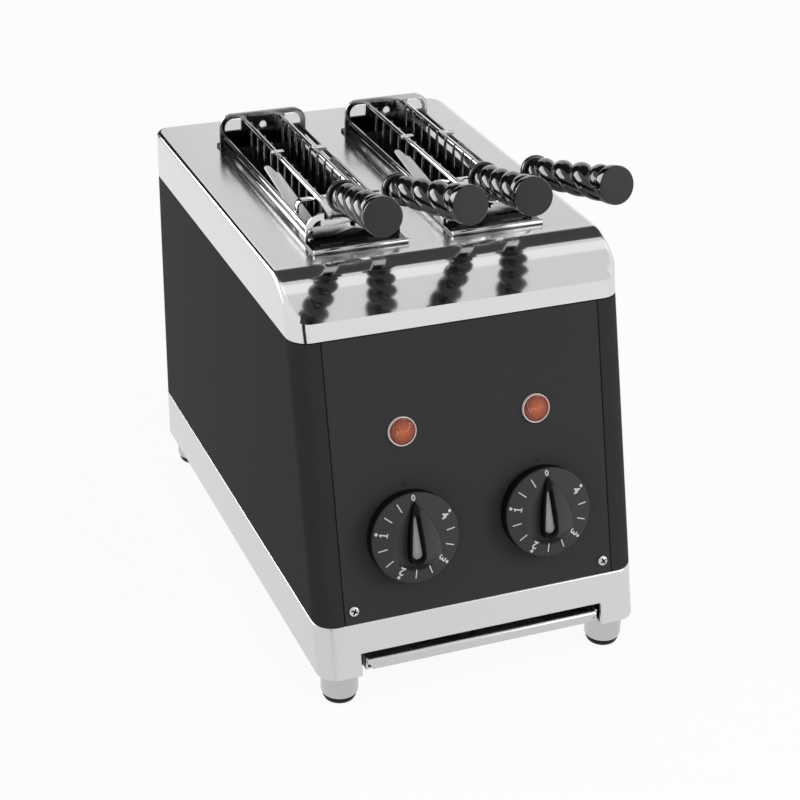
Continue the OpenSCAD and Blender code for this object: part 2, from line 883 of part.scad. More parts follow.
module knob(side) {
    rim_r = dial_d / 2;
    rim_bevel = 0.8;
    foot_bevel = rim_bevel / 2;
    face_r = hollow_w / 2;
    color("#1c1c1e")
        at_knob(side)
            translate([0, 0, dial_gap])
                difference() {
                    union() {
                        difference() {
                            rotate_extrude()
                                polygon([
                                    [0, 0], [rim_r - foot_bevel, 0], [rim_r, foot_bevel], [rim_r, dial_rim_h],
                                    [rim_r - rim_bevel, dial_rim_h + rim_bevel], [face_r, dial_h], [0, dial_h]
                                ]);
                            finger_hollow();
                        }
                        translate([0, 0, dial_rim_h / 4])
                            linear_extrude(dial_h + bar_rise - dial_rim_h / 4)
                                polygon(bar_outline(12));
                    }
                    translate([0, 0, -over])
                        cylinder(d = shaft_d + 2 * running, h = socket_h + over);
                    pointer_channel();
                }
}

// Tapered strip on the floor of the bar's channel
module knob_pointer(side) {
    color("darkgray")
        at_knob(side)
            translate([0, 0, dial_gap + dial_h + bar_rise - channel_depth])
                linear_extrude(pointer_t)
                    strip_outline(-slip);
}

// Lamps

lamp_body_d = lens_d + 0.8;

module at_lamp(side) {
    on_panel(side * control_pitch / 2, case_z + lamp_rise)
        children();
}

module lamp_bezel(side) {
    inner = lens_d / 2 + slip;
    outer = bezel_d / 2;
    color("mistyrose")
        at_lamp(side)
            rotate_extrude()
                polygon([
                    [inner, 0], [outer, 0], [outer, bezel_h / 2], [outer - bezel_h / 2, bezel_h], [inner, bezel_h]
                ]);
}

module lamp_lens(side) {
    r = lens_d / 2;
    color("orangered")
        at_lamp(side)
            rotate_extrude()
                polygon([
                    [0, 0], [r, 0], [r, bezel_h - 0.4], [r * 0.8, bezel_h + 0.1], [r * 0.45, lens_h - 0.2], [0, lens_h]
                ]);
}

module lamp_body(side) {
    pin_w = 3;
    color("whitesmoke")
        at_lamp(side) {
            translate([0, 0, -lamp_body_l])
                cylinder(d = lamp_body_d, h = lamp_body_l);
            for (x = [-pin_w, pin_w])
                translate([x - pin_w / 4, -pin_w / 2, -lamp_body_l - 2 * pin_w])
                    cube([pin_w / 2, pin_w, 2 * pin_w + over]);
        }
}

// Wiring

gland_neck_d = gland_bore_d + 5;

module terminal_block() {
    ways = 3;
    way_w = 11;
    h = 15;
    depth = 18;
    block_x = -body_w / 4;
    color("whitesmoke")
        difference() {
            translate([block_x - ways * way_w / 2, back_y - case_wall - depth, case_z + case_wall])
                cube([ways * way_w, depth, h]);
            for (k = [0:ways - 1])
                translate([block_x + (k - (ways - 1) / 2) * way_w, back_y - case_wall - depth / 2, case_z + h / 2])
                    cylinder(d = way_w / 2, h = h);
        }
}

module cable_gland() {
    inside = 8;
    outer = gland_d / 2;
    neck = gland_neck_d / 2;
    bore = gland_bore_d / 2;
    color("#222222")
        translate([0, back_y, case_z + gland_rise])
            rotate([-90, 0, 0])
                rotate_extrude()
                    polygon([
                        [bore, -inside], [neck, -inside], [neck, 0], [outer, 0], [outer, gland_out / 3],
                        [neck, gland_out], [bore, gland_out]
                    ]);
}

// Crumb tray

module tray_runners() {
    foot_w = 8;
    rise = tray_h + 2;
    z = base_z + bottom_plate_t;
    y0 = front_y0 + 3 * base_wall;
    color("gray")
        for (side = [0, 1]) mirror([side, 0, 0])
            translate([tray_w / 2 + loose, y0, z]) {
                translate([-foot_w, 0, 0])
                    cube([foot_w + runner_guide_t, tray_l, runner_t]);
                cube([runner_guide_t, tray_l, rise]);
            }
}

module crumb_tray() {
    inner_w = tray_w - 2 * tray_wall;
    roll_r = lip_roll_d / 2;
    lip_w = tray_w - 2 * lip_mitre;
    color("silver") {
        translate([-tray_w / 2, tray_y0, tray_z])
            difference() {
                cube([tray_w, tray_l, tray_h]);
                translate([tray_wall, tray_wall, tray_wall])
                    cube([inner_w, tray_l - 2 * tray_wall, tray_h]);
            }
        translate([0, tray_y0 + tray_wall, tray_z])
            rotate([90, 0, 0])
                linear_extrude(tray_wall + roll_r)
                    polygon([[-lip_w / 2, 0], [lip_w / 2, 0], [tray_w / 2, tray_h], [-tray_w / 2, tray_h]]);
        translate([-tray_w / 2, tray_y0, tray_z + tray_h])
            rotate([0, 90, 0])
                cylinder(r = roll_r, h = tray_w);
    }
}

// Tongs; a part is drawn for the right arm and mirrored for the left

module on_arm(side, hand) {
    translate([side * slot_pitch / 2, 0, 0])
        mirror([hand == "left" ? 1 : 0, 0, 0])
            children();
}

module tong_grid(side, hand) {
    wire_end = wire_d;
    clip_y = wire_y0 + (floor(wire_count / 2) + 0.5) * wire_step;
    clip_in = 0.9 * rail_d;
    clip_out = hand == "left" ? 1.4 * rail_d : 1.9 * rail_d;
    clip_h = 0.9 * rail_d;
    color("white")
        on_arm(side, hand) {
            translate([rail_x, rail_y0, rail_z])
                rotate([-90, 0, 0])
                    cylinder(d = rail_d, h = rail_y1 - rail_y0);
            for (k = [0:wire_count - 1])
                translate([wire_x, wire_y0 + k * wire_step, grid_bottom_z])
                    cylinder(d = wire_d, h = wire_l + rail_d / 2);
            translate([wire_x + wire_d / 3, wire_y0 - wire_end, grid_bottom_z])
                rotate([-90, 0, 0])
                    cylinder(d = wire_d, h = wire_y1 - wire_y0 + 2 * wire_end);
            translate([rail_x - clip_in, clip_y - clip_h / 2, rail_z + rail_d / 6])
                cube([clip_in + clip_out, clip_h, clip_h]);
        }
}

// Places children on a right handle's axis, seen from the pivot at the tang's underside
module at_handle(hand_sign) {
    translate([hand_sign * handle_x, -tang_run, tang_t / 2 + tang_rise])
        rotate([90 - handle_tilt, 0, hand_sign * handle_splay])
            children();
}

// Bridge under the rails: it stands on the cover beside the slot and carries the pivot on a strip
bridge_t = 1.2;
bridge_half_w = slot_w / 2 + slip + loose + bridge_t;
bridge_h = rail_rise - rail_d / 2 - loose;

module tong_bridge(side) {
    r = 4;
    strip_w = 2 * head_r;
    leg_h = bridge_h - loose;
    color("white")
        translate([side * slot_pitch / 2, 0, 0]) {
            translate([0, 0, loose])
                stand_plate(bridge_y - bridge_strip_w / 2, bridge_strip_w)
                    difference() {
                        shoulder_outline(2 * bridge_half_w, leg_h, r);
                        translate([0, -bridge_t])
                            shoulder_outline(2 * (bridge_half_w - bridge_t), leg_h, r - bridge_t);
                    }
            translate([-strip_w / 2, pivot_y, top_z + bridge_h - bridge_t])
                cube([strip_w, bridge_y - pivot_y, bridge_t]);
            translate([0, pivot_y, top_z + bridge_h - bridge_t])
                cylinder(r = head_r * 1.05, h = bridge_t);
        }
}

// Springy leaf that centres the tong in its slot; welded to a leg of the bridge, rising to a round finger
module guide_leaf() {
    leaf_t = 1.2;
    finger_l = 7;
    finger_w = leaf_w * 0.55;
    root_z = top_z + 2.5;
    tilt = atan(leaf_rise / leaf_l);
    translate([bridge_half_w - bridge_t, bridge_y - bridge_strip_w / 2, root_z])
        rotate([tilt, 0, 0])
            translate([-leaf_w, 0, 0]) {
                cube([leaf_w, leaf_l, leaf_t]);
                translate([leaf_w - finger_w, leaf_l - over, 0])
                    cube([finger_w, finger_l + over, leaf_t]);
                translate([leaf_w - finger_w / 2, leaf_l + finger_l, 0])
                    cylinder(d = finger_w * 0.98, h = leaf_t);
            }
}

module tong_guides(side) {
    color("white")
        translate([side * slot_pitch / 2, 0, 0])
            for (hand = [0, 1]) mirror([hand, 0, 0])
                guide_leaf();
}

// Flat strip that runs level over the rail, then bends up to the handle
module tang_strip() {
    bend_y = -lug_r - 1;
    end_y = -tang_run - flange_h;
    slope = tang_rise / (tang_run + bend_y);
    end_z = (bend_y - end_y) * slope;
    thick = tang_t * sqrt(1 + slope * slope);
    across(tang_w)
        polygon([
            [tang_back, 0], [tang_back, tang_t], [bend_y + (thick - tang_t) / slope, tang_t],
            [end_y, end_z + thick], [end_y, end_z], [bend_y, 0]
        ]);
}

module tong_tang(side, hand) {
    lift = hand == "left" ? 0 : lug_step;
    lug_w = lug_r * 1.6;
    color("gainsboro")
        on_arm(side, hand)
            translate([0, pivot_y, tang_z])
                difference() {
                    union() {
                        translate([tang_x, 0, 0])
                            rotate([0, 0, handle_splay])
                                tang_strip();
                        translate([0, 0, lift])
                            cylinder(r = lug_r, h = tang_t);
                        translate([0, -lug_w / 2, lift])
                            cube([tang_x, lug_w, tang_t]);
                        translate([tang_x - tang_w / 3, -lug_w / 2, 0])
                            cube([tang_w / 3, lug_w, lift + tang_t]);
                    }
                    translate([0, 0, lift - over])
                        cylinder(d = pin_d + 2 * running, h = tang_t + 2 * over);
                    at_handle(1)
                        cylinder(d = 2 * flange_d, h = flange_d);
                }
}

function grip_outline(n) =
    [for (k = [0:n - 1]) let (t = 360 * k / n) (grip_r + grip_lobe * cos(2 * t)) * [cos(t), sin(t)]];

module tong_handle(side, hand) {
    end_bevel = 1;
    edge = 1;
    grip_l = handle_l - flange_h - handle_end_l;
    points = 20;
    slices = 28;
    color("#111111")
        translate([side * slot_pitch / 2, pivot_y, tang_z])
            at_handle(hand == "left" ? -1 : 1) {
                rotate_extrude()
                    polygon([
                        [0, 0], [flange_d / 2 - edge, 0], [flange_d / 2, edge],
                        [flange_d / 2, flange_h - edge], [flange_d / 2 - edge, flange_h], [0, flange_h]
                    ]);
                translate([0, 0, flange_h - edge / 2])
                    linear_extrude(grip_l + edge, twist = -360 * grip_turns, scale = grip_swell,
                                   slices = slices, $fn = points)
                        polygon(grip_outline(points));
                translate([0, 0, handle_l - handle_end_l])
                    rotate_extrude()
                        polygon([
                            [0, 0], [handle_end_d / 2 - end_bevel, 0], [handle_end_d / 2, end_bevel],
                            [handle_end_d / 2, handle_end_l - end_bevel],
                            [handle_end_d / 2 - end_bevel, handle_end_l], [0, handle_end_l]
                        ]);
            }
}

module tong_pivot(side) {
    r = pin_d / 2;
    color("silver")
        translate([side * slot_pitch / 2, pivot_y, 0])
            rotate_extrude()
                polygon([
                    [0, pin_low_z], [head_r, pin_low_z], [head_r, tang_z - loose], [r, tang_z - loose],
                    [r, pin_high_z], [head_r, pin_high_z], [head_r, pin_high_z + head_h], [0, pin_high_z + head_h]
                ]);
}

// Torsion spring: a straight leg, the coil, and the other leg, as rings along one line
rings_per_turn = 8;
spring_sides = 6;

function spring_path() =
    let (n = spring_turns * rings_per_turn,
         coil = [for (k = [0:n]) let (t = 360 * k / rings_per_turn)
             [spring_r * cos(t), spring_r * sin(t), spring_pitch * k / rings_per_turn]])
    concat(
        [coil[0] + [0.9, -spring_leg_l, 0]],
        coil,
        [coil[n] + [0.9, spring_leg_l, 0]]
    );

function unit(v) = v / norm(v);

function path_way(path, k) =
    unit(path[min(k + 1, len(path) - 1)] - path[max(k - 1, 0)]);

function ring_points(path, k) =
    let (way = path_way(path, k), across_way = unit(cross(way, [0, 0, 1])), up = cross(across_way, way))
    [for (j = [0:spring_sides - 1]) let (t = 360 * j / spring_sides)
        path[k] + spring_wire_d / 2 * (cos(t) * across_way + sin(t) * up)];

function least_gap(path) =
    min([for (a = [0:len(path) - 1], b = [a + rings_per_turn / 2:1:len(path) - 1]) norm(path[a] - path[b])])
    - spring_wire_d;

module tong_spring(side) {
    path = spring_path();
    n = len(path);
    points = [for (k = [0:n - 1]) each ring_points(path, k)];
    walls = [for (k = [0:n - 2], j = [0:spring_sides - 1])
        let (a = k * spring_sides + j, b = k * spring_sides + (j + 1) % spring_sides)
            each [[a, a + spring_sides, b], [b, a + spring_sides, b + spring_sides]]];
    low_cap = [for (j = [1:spring_sides - 2]) [0, j, j + 1]];
    top = (n - 1) * spring_sides;
    top_cap = [for (j = [1:spring_sides - 2]) [top, top + j + 1, top + j]];
    echo(spring_least_gap = least_gap(path));
    color("silver")
        translate([side * slot_pitch / 2, pivot_y, spring_z])
            rotate([0, 0, -90])
                polyhedron(points, concat(walls, low_cap, top_cap));
}

// Drawing

base_skirt();
bottom_plate();
feet();
foot_pads();
case_wrap();
front_panel();
panel_screws();
top_cover();
slot_frame(-1);  // left_slot_frame
slot_frame(1);  // right_slot_frame
guard_rods(-1);  // left_guard_rods
guard_rods(1);  // right_guard_rods
chamber_liner();
grid_rests();
heater(-bank_pitch);  // left_heater
heater(0);  // middle_heater
heater(bank_pitch);  // right_heater
heater_holders();
reflectors();
timer(-1);  // left_timer
timer(1);  // right_timer
timer_shaft(-1);  // left_timer_shaft
timer_shaft(1);  // right_timer_shaft
knob(-1);  // left_knob
knob(1);  // right_knob
knob_pointer(-1);  // left_knob_pointer
knob_pointer(1);  // right_knob_pointer
lamp_bezel(-1);  // left_lamp_bezel
lamp_bezel(1);  // right_lamp_bezel
lamp_lens(-1);  // left_lamp_lens
lamp_lens(1);  // right_lamp_lens
lamp_body(-1);  // left_lamp_body
lamp_body(1);  // right_lamp_body
terminal_block();
cable_gland();
tray_runners();
crumb_tray();
tong_bridge(-1);  // left_tong_bridge
tong_guides(-1);  // left_tong_guides
tong_pivot(-1);  // left_tong_pivot
tong_spring(-1);  // left_tong_spring
tong_grid(-1, "left");  // left_tong_left_grid
tong_tang(-1, "left");  // left_tong_left_tang
tong_handle(-1, "left");  // left_tong_left_handle
tong_grid(-1, "right");  // left_tong_right_grid
tong_tang(-1, "right");  // left_tong_right_tang
tong_handle(-1, "right");  // left_tong_right_handle
tong_bridge(1);  // right_tong_bridge
tong_guides(1);  // right_tong_guides
tong_pivot(1);  // right_tong_pivot
tong_spring(1);  // right_tong_spring
tong_grid(1, "left");  // right_tong_left_grid
tong_tang(1, "left");  // right_tong_left_tang
tong_handle(1, "left");  // right_tong_left_handle
tong_grid(1, "right");  // right_tong_right_grid
tong_tang(1, "right");  // right_tong_right_tang
tong_handle(1, "right");  // right_tong_right_handle
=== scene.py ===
import math

import bmesh
import bpy
from mathutils import Matrix, Vector
from mathutils.geometry import delaunay_2d_cdt


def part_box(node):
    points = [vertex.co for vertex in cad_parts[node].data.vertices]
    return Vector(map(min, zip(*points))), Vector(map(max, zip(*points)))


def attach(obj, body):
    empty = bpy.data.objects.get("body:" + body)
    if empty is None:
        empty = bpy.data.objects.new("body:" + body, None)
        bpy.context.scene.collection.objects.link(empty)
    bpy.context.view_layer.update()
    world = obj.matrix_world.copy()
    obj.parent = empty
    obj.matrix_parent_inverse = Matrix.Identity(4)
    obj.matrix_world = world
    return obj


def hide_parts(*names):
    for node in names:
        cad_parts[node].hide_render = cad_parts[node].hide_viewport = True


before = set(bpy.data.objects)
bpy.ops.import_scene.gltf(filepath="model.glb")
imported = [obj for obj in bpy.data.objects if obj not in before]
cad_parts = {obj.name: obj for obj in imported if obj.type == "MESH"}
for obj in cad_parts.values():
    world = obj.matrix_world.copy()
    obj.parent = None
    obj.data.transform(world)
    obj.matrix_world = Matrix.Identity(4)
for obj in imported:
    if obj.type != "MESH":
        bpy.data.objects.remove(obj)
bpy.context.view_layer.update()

# Two-slot sandwich toaster with wire tongs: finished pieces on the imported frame.
# Pieces are drawn in millimetres and scaled to metres when they become meshes.
MM = 0.001

# Sizes, as in the CAD source
HALF_W = 100.0
LEAN = math.radians(14.3)
CORNER_R = 12.0
BASE_Z, CASE_Z, COVER_Z, RIM_Z, TOP_Z = 22.0, 53.0, 212.0, 222.5, 242.0
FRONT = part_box("base_skirt")[0].y / MM
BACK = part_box("base_skirt")[1].y / MM
PANEL_HALF, SHEET_T, SEAM = 83.5, 1.5, 0.25
FRAME_W, FRAME_R, FRAME_BAND, FRAME_T = 57.0, 9.0, 3.4, 1.6
SLOT_X, SLOT_W, SLOT_L = 42.0, 45.0, 161.0
REAR_PLATE_Y = BACK - 53.0 - FRAME_T
SLOT_Y1 = REAR_PLATE_Y - 1.4
SLOT_Y0 = SLOT_Y1 - SLOT_L
FRONT_PLATE_Y = SLOT_Y0 - 3.0
PIVOT_Y = FRONT_PLATE_Y - 4.0
RAIL_Z, RAIL_X, RAIL_R = TOP_Z + 18.0, 12.0, 1.6
TANG_Z = RAIL_Z + 1.7
WIRE_R, WIRE_COUNT = 0.9, 12
CONTROL_X, KNOB_Z, LAMP_Z = 41.0, CASE_Z + 46.0, CASE_Z + 104.0
SCREW_X, SCREW_Z = 78.0, CASE_Z + 8.0
ROOT = "toaster_body"
HANDS = ((-1, "left"), (1, "right"))


def front_y(z):
    return FRONT + (z - BASE_Z) * math.tan(LEAN)


# Outlines: lists of points

def circle(x, y, r, n=24):
    return [(x + r * math.cos(2 * math.pi * k / n), y + r * math.sin(2 * math.pi * k / n))
            for k in range(n)]


def arc(x, y, r, start, stop, steps=10):
    angles = [math.radians(start + (stop - start) * k / steps) for k in range(steps + 1)]
    return [(x + r * math.cos(a), y + r * math.sin(a)) for a in angles]


def level(points, z):
    return [(x, y, z) for x, y in points]


# Shapes: each is a pair of points and faces

def loft(rings, start=True, end=True):
    n = len(rings[0])
    points = [tuple(p) for ring in rings for p in ring]
    faces = []
    for k in range(len(rings) - 1):
        for j in range(n):
            a, b = k * n + j, k * n + (j + 1) % n
            faces.append((a, b, b + n, a + n))
    if start:
        faces.append(tuple(reversed(range(n))))
    if end:
        faces.append(tuple(range(len(points) - n, len(points))))
    return points, faces


def used(points, faces):
    """The shape of some faces, with only the points that they need."""
    kept = sorted({i for face in faces for i in face})
    place = {i: k for k, i in enumerate(kept)}
    return [points[i] for i in kept], [tuple(place[i] for i in face) for face in faces]


def turned(profile, n):
    """Round rings, from their radii and heights."""
    return [level(circle(0, 0, r, n), z) for r, z in profile]


def revolve(profile, n=64, start=True, end=True):
    return loft(turned(profile, n), start, end)


def tube(path, r, n=12):
    """Round wire along a path, with domed ends."""
    bulge = 0.8
    path = [Vector(p) for p in path]
    last = len(path) - 1
    ways = [(path[min(k + 1, last)] - path[max(k - 1, 0)]).normalized() for k in range(last + 1)]
    side = ways[0].orthogonal().normalized()

    def ring(middle, way, radius):
        nonlocal side
        side = (side - way * side.dot(way)).normalized()
        up = way.cross(side)
        return [middle + radius * (c * side + s * up) for c, s in circle(0, 0, 1, n)]

    def dome(end, way, degrees):
        turns = [math.radians(t) for t in degrees]
        return [ring(end + way * r * bulge * math.sin(t), way, r * math.cos(t)) for t in turns]

    rings = dome(path[0], ways[0], (-75, -50, -25))
    rings += [ring(p, w, r) for p, w in zip(path, ways)]
    return loft(rings + dome(path[-1], ways[-1], (25, 50, 75)))


def linked(name, data):
    obj = bpy.data.objects.new(name, data)
    bpy.context.scene.collection.objects.link(obj)
    return obj


def mesh_of(name, shape):
    mesh = bpy.data.meshes.new(name)
    mesh.from_pydata([Vector(p) * MM for p in shape[0]], [], shape[1])
    return mesh


def from_object(obj):
    """Points and faces of a scratch object with its modifiers, which is then taken away."""
    graph = bpy.context.evaluated_depsgraph_get()
    mesh = bpy.data.meshes.new_from_object(obj.evaluated_get(graph))
    shape = ([tuple(v.co / MM) for v in mesh.vertices],
             [tuple(p.vertices) for p in mesh.polygons])
    bpy.data.meshes.remove(mesh)
    bpy.data.objects.remove(obj)
    return shape


def plate(outlines, thick, edge=0.25):
    """Flat plate with rounded edges, middle at z = 0; later outlines are holes."""
    curve = bpy.data.curves.new("plate", "CURVE")
    curve.dimensions, curve.fill_mode = "2D", "BOTH"
    curve.extrude, curve.bevel_depth = (thick / 2 - edge) * MM, edge * MM
    curve.bevel_resolution, curve.offset = 2, -edge * MM
    for outline_points in outlines:
        spline = curve.splines.new("POLY")
        spline.points.add(len(outline_points) - 1)
        for point, (x, y) in zip(spline.points, outline_points):
            point.co = (x * MM, y * MM, 0, 1)
        spline.use_cyclic_u = True
    return from_object(linked("plate", curve))


def numeral(character, size):
    thick, bolder = 0.12, 0.12
    curve = bpy.data.curves.new("numeral", "FONT")
    curve.body, curve.size = character, size * MM
    curve.align_x, curve.align_y = "CENTER", "CENTER"
    curve.extrude, curve.offset = thick / 2 * MM, bolder * MM
    return from_object(linked("numeral", curve))


def moved(shape, matrix):
    return [tuple(matrix @ Vector(p)) for p in shape[0]], shape[1]


def shifted(shape, x, y, z):
    return moved(shape, Matrix.Translation((x, y, z)))


def mirrored(shape):
    return [(-x, y, z) for x, y, z in shape[0]], [tuple(reversed(f)) for f in shape[1]]


def joined(*shapes):
    points, faces = [], []
    for p, f in shapes:
        step = len(points)
        points += p
        faces += [tuple(i + step for i in face) for face in f]
    return points, faces


def box(x0, x1, y0, y1, z0, z1):
    corners = ((x0, y0), (x1, y0), (x1, y1), (x0, y1))
    return loft([level(corners, z) for z in (z0, z1)])


def cut(shape, *tools):
    """Takes the tools away from a closed shape."""
    obj, *others = [linked("scratch", mesh_of("scratch", s)) for s in (shape, *tools)]
    for other in others:
        modifier = obj.modifiers.new("cut", "BOOLEAN")
        modifier.operation, modifier.solver, modifier.object = "DIFFERENCE", "EXACT", other
    result = from_object(obj)
    for other in others:
        bpy.data.objects.remove(other)
    return result


def piece(name, shape, finish, body, slot, sharp=35, bevel=0.0, segments=3, flat=False,
          normals=None, spot=None):
    """A piece that moves with a CAD body and stands for the CAD node of its name, if any."""
    weld, bevel_from = 1e-6, 40
    mesh = mesh_of(name, shape)
    bm = bmesh.new()
    bm.from_mesh(mesh)
    bmesh.ops.remove_doubles(bm, verts=bm.verts, dist=weld)
    bmesh.ops.recalc_face_normals(bm, faces=bm.faces)
    bm.to_mesh(mesh)
    bm.free()
    for polygon in mesh.polygons:
        polygon.use_smooth = not flat
    if normals:
        mesh.normals_split_custom_set_from_vertices([normals(v.co / MM) for v in mesh.vertices])
    elif not flat:
        mesh.set_sharp_from_angle(angle=math.radians(sharp))
    mesh.materials.append(finish)
    obj = linked(name, mesh)
    if bevel:
        modifier = obj.modifiers.new("edges", "BEVEL")
        modifier.width, modifier.segments = bevel * MM, segments
        modifier.limit_method, modifier.angle_limit = "ANGLE", math.radians(bevel_from)
        modifier.harden_normals = True
    if spot:
        obj.matrix_world = Matrix.Translation(spot.translation * MM) @ spot.to_3x3().to_4x4()
    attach(obj, body)
    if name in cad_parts:
        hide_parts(name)


# Materials

MIX_LOW, MIX_HIGH, MIX_OUT = 6, 7, 2  # colour sockets of the mix node


def scaled(tree, scale):
    """The object's own coordinates, stretched."""
    place = tree.nodes.new("ShaderNodeTexCoord")
    stretch = tree.nodes.new("ShaderNodeMapping")
    stretch.inputs["Scale"].default_value = scale
    tree.links.new(place.outputs["Object"], stretch.inputs["Vector"])
    return stretch.outputs["Vector"]


def noise(tree, vector, scale, detail):
    texture = tree.nodes.new("ShaderNodeTexNoise")
    texture.inputs["Scale"].default_value = scale
    texture.inputs["Detail"].default_value = detail
    tree.links.new(vector, texture.inputs["Vector"])
    return texture.outputs["Fac"]


def ranged(tree, value, low, high, start=0.0, stop=1.0):
    """Value that runs from low to high while another runs from start to stop."""
    span = tree.nodes.new("ShaderNodeMapRange")
    for name, number in (("From Min", start), ("From Max", stop), ("To Min", low),
                         ("To Max", high)):
        span.inputs[name].default_value = number
    tree.links.new(value, span.inputs["Value"])
    return span.outputs["Result"]


def along(tree, axis, start, stop, low, high):
    """Value that runs from low to high between two places on an axis, in mm."""
    place = tree.nodes.new("ShaderNodeTexCoord")
    axes = tree.nodes.new("ShaderNodeSeparateXYZ")
    tree.links.new(place.outputs["Object"], axes.inputs["Vector"])
    return ranged(tree, axes.outputs[axis], low, high, start * MM, stop * MM)


def base_colour(tree, factor, low, high):
    """Lets the surface's colour run from one colour to another."""
    mix = tree.nodes.new("ShaderNodeMix")
    mix.data_type = "RGBA"
    mix.inputs[MIX_LOW].default_value = [*low, 1]
    mix.inputs[MIX_HIGH].default_value = [*high, 1]
    tree.links.new(factor, mix.inputs["Factor"])
    tree.links.new(mix.outputs[MIX_OUT], tree.nodes["Principled BSDF"].inputs["Base Color"])


def material(name, colour, metallic, rough, grain, bump, tint, blotch, stretch=(1, 1, 1),
             coat=0.0, specular=0.5):
    """Principled surface: blotches vary the colour, a fine grain the gloss and height."""
    mat = bpy.data.materials.new(name)
    mat.use_nodes = True
    tree = mat.node_tree
    shader = tree.nodes["Principled BSDF"]
    blotch_detail, grain_detail, low, high = 4.0, 3.0, 0.3, 0.7
    colour = colour if isinstance(colour, tuple) else (colour,) * 3
    base_colour(tree, noise(tree, scaled(tree, (1, 1, 1)), blotch, blotch_detail),
                [c * (1 - tint) for c in colour], [min(1, c * (1 + tint)) for c in colour])
    fine = noise(tree, scaled(tree, stretch), grain, grain_detail)
    tree.links.new(ranged(tree, fine, *rough, low, high), shader.inputs["Roughness"])
    lift = tree.nodes.new("ShaderNodeBump")
    lift.inputs["Strength"].default_value = bump
    lift.inputs["Distance"].default_value = 0.2 * MM
    tree.links.new(fine, lift.inputs["Height"])
    tree.links.new(lift.outputs["Normal"], shader.inputs["Normal"])
    for socket, value in (("Metallic", metallic), ("Coat Weight", coat),
                          ("Coat Roughness", 0.08), ("Specular IOR Level", specular)):
        shader.inputs[socket].default_value = value
    return mat


# In each row: colour or grey, metal, roughness from and to, grain, bump, tint, blotch scale
COVER = material("polished_steel", (0.60, 0.60, 0.605), 1.0, (0.06, 0.09), 260, 0.0, 0.012, 6,
                 stretch=(0.2, 1, 1))
# Satin steel for the cover's skirt, coloured lighter than the top sheet: the lighter colour is
# painted light
LIT_SKIRT = material("satin_lit_skirt", (0.70, 0.70, 0.705), 1.0, (0.10, 0.13), 500, 0.0, 0.012, 6,
                 stretch=(0.2, 1, 1))
BRIGHT = material("bright_steel", 0.60, 1.0, (0.20, 0.30), 700, 0.03, 0.06, 30,
                  stretch=(1, 0.1, 1))
CHROME = material("chromed_wire", (0.62, 0.62, 0.625), 1.0, (0.06, 0.13), 500, 0.01, 0.04, 60)
# Painted shade: a darker copy of the chromed wire, for the guard rods and the aprons' rolls
SHADED_CHROME = material("shaded_guard_rod", (0.42, 0.42, 0.425), 1.0, (0.04, 0.08), 500, 0.01, 0.04, 60)
# Painted shade: a darker copy of the chromed wire, for the grids' wires, the right guides, pivots
# and springs
SHADED_WIRE = material("shaded_grid_wire", (0.20, 0.20, 0.203), 1.0, (0.2, 0.32), 600, 0.03, 0.12, 50,
                stretch=(1, 1, 0.2))
LEAF = material("satin_leaf", 0.78, 0.3, (0.4, 0.5), 900, 0.03, 0.05, 40, stretch=(1, 0.2, 1))
# Steel of the aprons, darker than the plates
APRON = material("dark_apron_steel", (0.09, 0.09, 0.092), 1.0, (0.12, 0.24), 420, 0.02, 0.2, 60,
                 stretch=(0.2, 1, 1))
BASE = material("base_casting", 0.64, 0.85, (0.24, 0.28), 1600, 0.0, 0.02, 9)
# Painted shade: the feet take a darker metal than the base, as if in its shadow
SHADED_FOOT = material("shaded_foot_cup", 0.50, 1.0, (0.20, 0.28), 900, 0.01, 0.04, 40, stretch=(1, 1, 0.2))
TRAY = material("tray_steel", 0.58, 0.95, (0.26, 0.30), 900, 0.0, 0.03, 20, stretch=(0.1, 1, 1))
SHEET = material("sheet_steel", 0.30, 1.0, (0.35, 0.5), 500, 0.04, 0.1, 25, stretch=(1, 1, 0.2))
# Near-black steel for the slots' lips and the chamber inside; on the rods' ends it is the painted
# shade of their bores
NEAR_BLACK = material("near_black_steel", (0.009, 0.0085, 0.008), 0.2, (0.55, 0.7), 300, 0.06, 0.3, 18,
                specular=0.12)
BRASS = material("brass_shaft", (0.62, 0.45, 0.20), 1.0, (0.2, 0.32), 900, 0.04, 0.06, 90,
                 stretch=(1, 1, 0.1))
COAT = material("black_coating", (0.041, 0.041, 0.042), 0.0, (0.55, 0.65), 2600, 0.10, 0.05, 9,
                specular=0.03)
# Painted shade: the panel's coating, coloured darker on the case's sides and back
SHADED_COAT = material("black_coating_shaded", (0.033, 0.033, 0.034), 0.0, (0.55, 0.65), 2600, 0.10, 0.05, 9,
                specular=0.03)
PHENOLIC = material("black_phenolic", 0.004, 0.0, (0.08, 0.13), 300, 0.01, 0.2, 40, specular=0.6)
END_CAP = material("handle_end", 0.026, 0.0, (0.55, 0.65), 2200, 0.08, 0.05, 60, specular=0.3)
DIAL = material("black_dial", (0.040, 0.040, 0.041), 0.0, (0.42, 0.52), 2400, 0.06, 0.06, 40,
                specular=0.15)
# Painted light: the finger hollow's side is coloured lighter than the dial, as if lit
LIT_CHEEK = material("painted_light_dial", (0.085, 0.085, 0.086), 0.0, (0.42, 0.52), 2400, 0.06, 0.06, 40,
                 specular=0.15)
